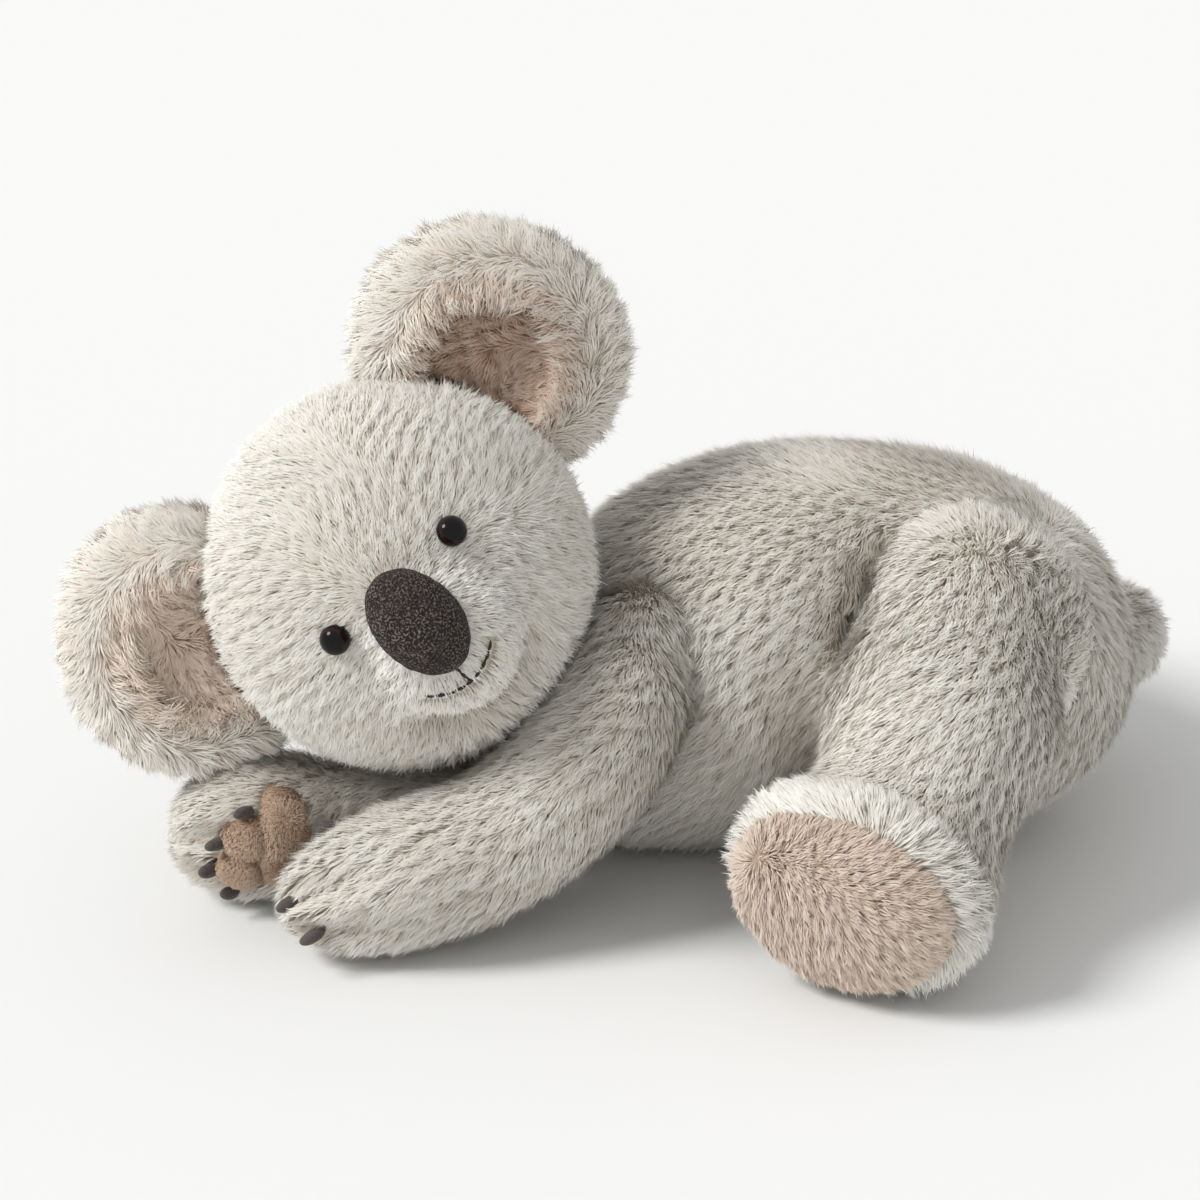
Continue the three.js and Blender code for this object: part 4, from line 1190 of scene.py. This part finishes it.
# where a point lies in an ear: its share of the half width, the way out to the rim, how far forward, and
# its place in the dish, in all and as seen from the front
def earPlace(ear, p):
    e = earShape
    local = p - ear["middle"]
    a, o, f = local @ ear["across"], local @ ear["outward"], local @ facing
    flat = (a / e["dishWide"]) ** 2 + ((o + e["dishLower"]) / e["dishHigh"]) ** 2
    return {
        "share": np.sqrt((a / (e["wide"] - e["inset"])) ** 2 + (o / (e["high"] - e["inset"])) ** 2),
        "radial": unit(a[:, None] * ear["across"] + o[:, None] * ear["outward"]), "forward": f,
        "dish": np.sqrt(flat + ((f - e["dishForward"]) / ear["deep"]) ** 2), "flat": np.sqrt(flat)}


for side, sign in (("left", 1), ("right", -1)):
    ear = earFrame(side, sign)
    clearOfHead = lambda p: depthInHead(p) < inset - earPile["headRoom"]

    # the rim's inner edge falls over the dish, its outer edge away from it, both with a turn round the ear
    def earComb(p, n, flow):
        at = earPlace(ear, p)
        front = at["forward"] > 0
        outwards = np.clip((at["share"] - earPile["fallFrom"]) / earPile["fallFade"], -1, 1) * front + ~front
        return at["radial"] * outwards[:, None] + earPile["turn"] * np.cross(facing, at["radial"])

    # outside the dish's edge, or behind it
    def onRim(p):
        at = earPlace(ear, p)
        return ((at["flat"] > earPile["dishEdge"]) | (at["forward"] < earPile["backEdge"])) & clearOfHead(p)

    # darker towards the dish
    def rimTone(p):
        at = earPlace(ear, p)
        inner = ease((earPile["innerFrom"] - at["share"]) / earPile["innerFade"])
        return earPile["tone"] - earPile["innerTone"] * inner * (at["forward"] > 0)

    # out to the rim, across the ear and down to the head
    def liningComb(p, n, flow):
        out = liningPile["out"] * earPlace(ear, p)["radial"]
        return out + liningPile["across"] * ear["across"] - liningPile["down"] * ear["outward"]

    look = dict(earPile, comb=earComb, keep=onRim, toneAt=rimTone)
    putPlush(side + "_ear", earSkin(ear), side + "_ear", "ear", (side + "_ear_back",), look, 201 + sign)
    # each lining takes its side's tone: painted light on the right, painted shade on the left
    look = dict(
        liningPile, comb=liningComb, toneAt=lambda p: np.full(len(p), liningPile["tone"][side]),
        keep=lambda p: (earPlace(ear, p)["dish"] < 1 + liningPile["over"] / ear["deep"]) & clearOfHead(p))
    nodes = (side + "_ear_lining",)
    putPlush(side + "_ear_lining", liningSkin(ear), side + "_ear", "pink", nodes, look, 221 + sign)
print("ears ready")

# washers stay as built, in a clear moulded plastic
washerLook = {
    "patch": 90, "dark": srgb(222, 222, 218), "light": srgb(238, 238, 234), "shader": {"Roughness": 0.35}}
washerPlastic = grainMaterial("washerPlastic", washerLook)
for side in ("left", "right"):
    washer = bpy.data.objects[side + "_eye_washer"]
    washer.data.materials.clear()
    washer.data.materials.append(washerPlastic)

# a white floor that keeps the shadow
floorLook = {
    "half": 6.0, "colour": srgb(247, 247, 246), "shader": {"Roughness": 0.9, "Specular IOR Level": 0.1}}
floorMesh = bpy.data.meshes.new("floor")
half = floorLook["half"]
corners = [(-half, -half, 0), (half, -half, 0), (half, half, 0), (-half, half, 0)]
floorMesh.from_pydata(corners, [], [(0, 1, 2, 3)])
floor = bpy.data.objects.new("floor", floorMesh)
scene = bpy.context.scene
scene.collection.objects.link(floor)
floorMaterial, _, floorShader = newMaterial("floor")
setSockets(floorShader, {"Base Color": (*floorLook["colour"], 1), **floorLook["shader"]})
floorMesh.materials.append(floorMaterial)

# an even sky, a brighter backdrop where the camera or a reflection sees it, and a soft window
lightLook = {"sky": 0.54, "backdrop": 0.9, "from": (-1.5, -0.5, 1.5), "strength": 2.2, "spread": 22}
world = bpy.data.worlds.new("studio")
scene.world = world
world.use_nodes = True
nodes, links = world.node_tree.nodes, world.node_tree.links
sky, backdrop = nodes["Background"], nodes.new("ShaderNodeBackground")
setSockets(sky, {"Color": (1, 1, 1, 1), "Strength": lightLook["sky"]})
setSockets(backdrop, {"Color": (1, 1, 1, 1), "Strength": lightLook["backdrop"]})
rays, either = nodes.new("ShaderNodeLightPath"), nodes.new("ShaderNodeMixShader")
seen = rays.outputs["Is Camera Ray"]
for kind in ("Is Glossy Ray", "Is Transmission Ray"):
    most = nodes.new("ShaderNodeMath")
    most.operation = "MAXIMUM"
    links.new(seen, most.inputs[0])
    links.new(rays.outputs[kind], most.inputs[1])
    seen = most.outputs[0]
for source, socket in zip((seen, sky.outputs[0], backdrop.outputs[0]), either.inputs):
    links.new(source, socket)
links.new(either.outputs[0], nodes["World Output"].inputs["Surface"])
window = bpy.data.lights.new("window", "SUN")
window.energy = lightLook["strength"]
window.angle = math.radians(lightLook["spread"])
windowObject = bpy.data.objects.new("window", window)
scene.collection.objects.link(windowObject)
windowObject.location = lightLook["from"]
windowObject.rotation_euler = (-Vector(lightLook["from"])).to_track_quat("-Z", "Y").to_euler()

cameraLook = {
    "elevation": 23, "distance": 1.4, "lens": 93.3, "sensor": 36,
    "target": (shift[0] * mm, shift[1] * mm, 0.107)}
cameraData = bpy.data.cameras.new("camera")
cameraData.lens = cameraLook["lens"]
cameraData.sensor_width = cameraLook["sensor"]
camera = bpy.data.objects.new("camera", cameraData)
scene.collection.objects.link(camera)
tilt, far = math.radians(cameraLook["elevation"]), cameraLook["distance"]
x, y, z = cameraLook["target"]
camera.location = (x, y - far * math.cos(tilt), z + far * math.sin(tilt))
camera.rotation_euler = (math.pi / 2 - tilt, 0, 0)
scene.camera = camera
scene.view_settings.view_transform = "Standard"
print("stage ready")
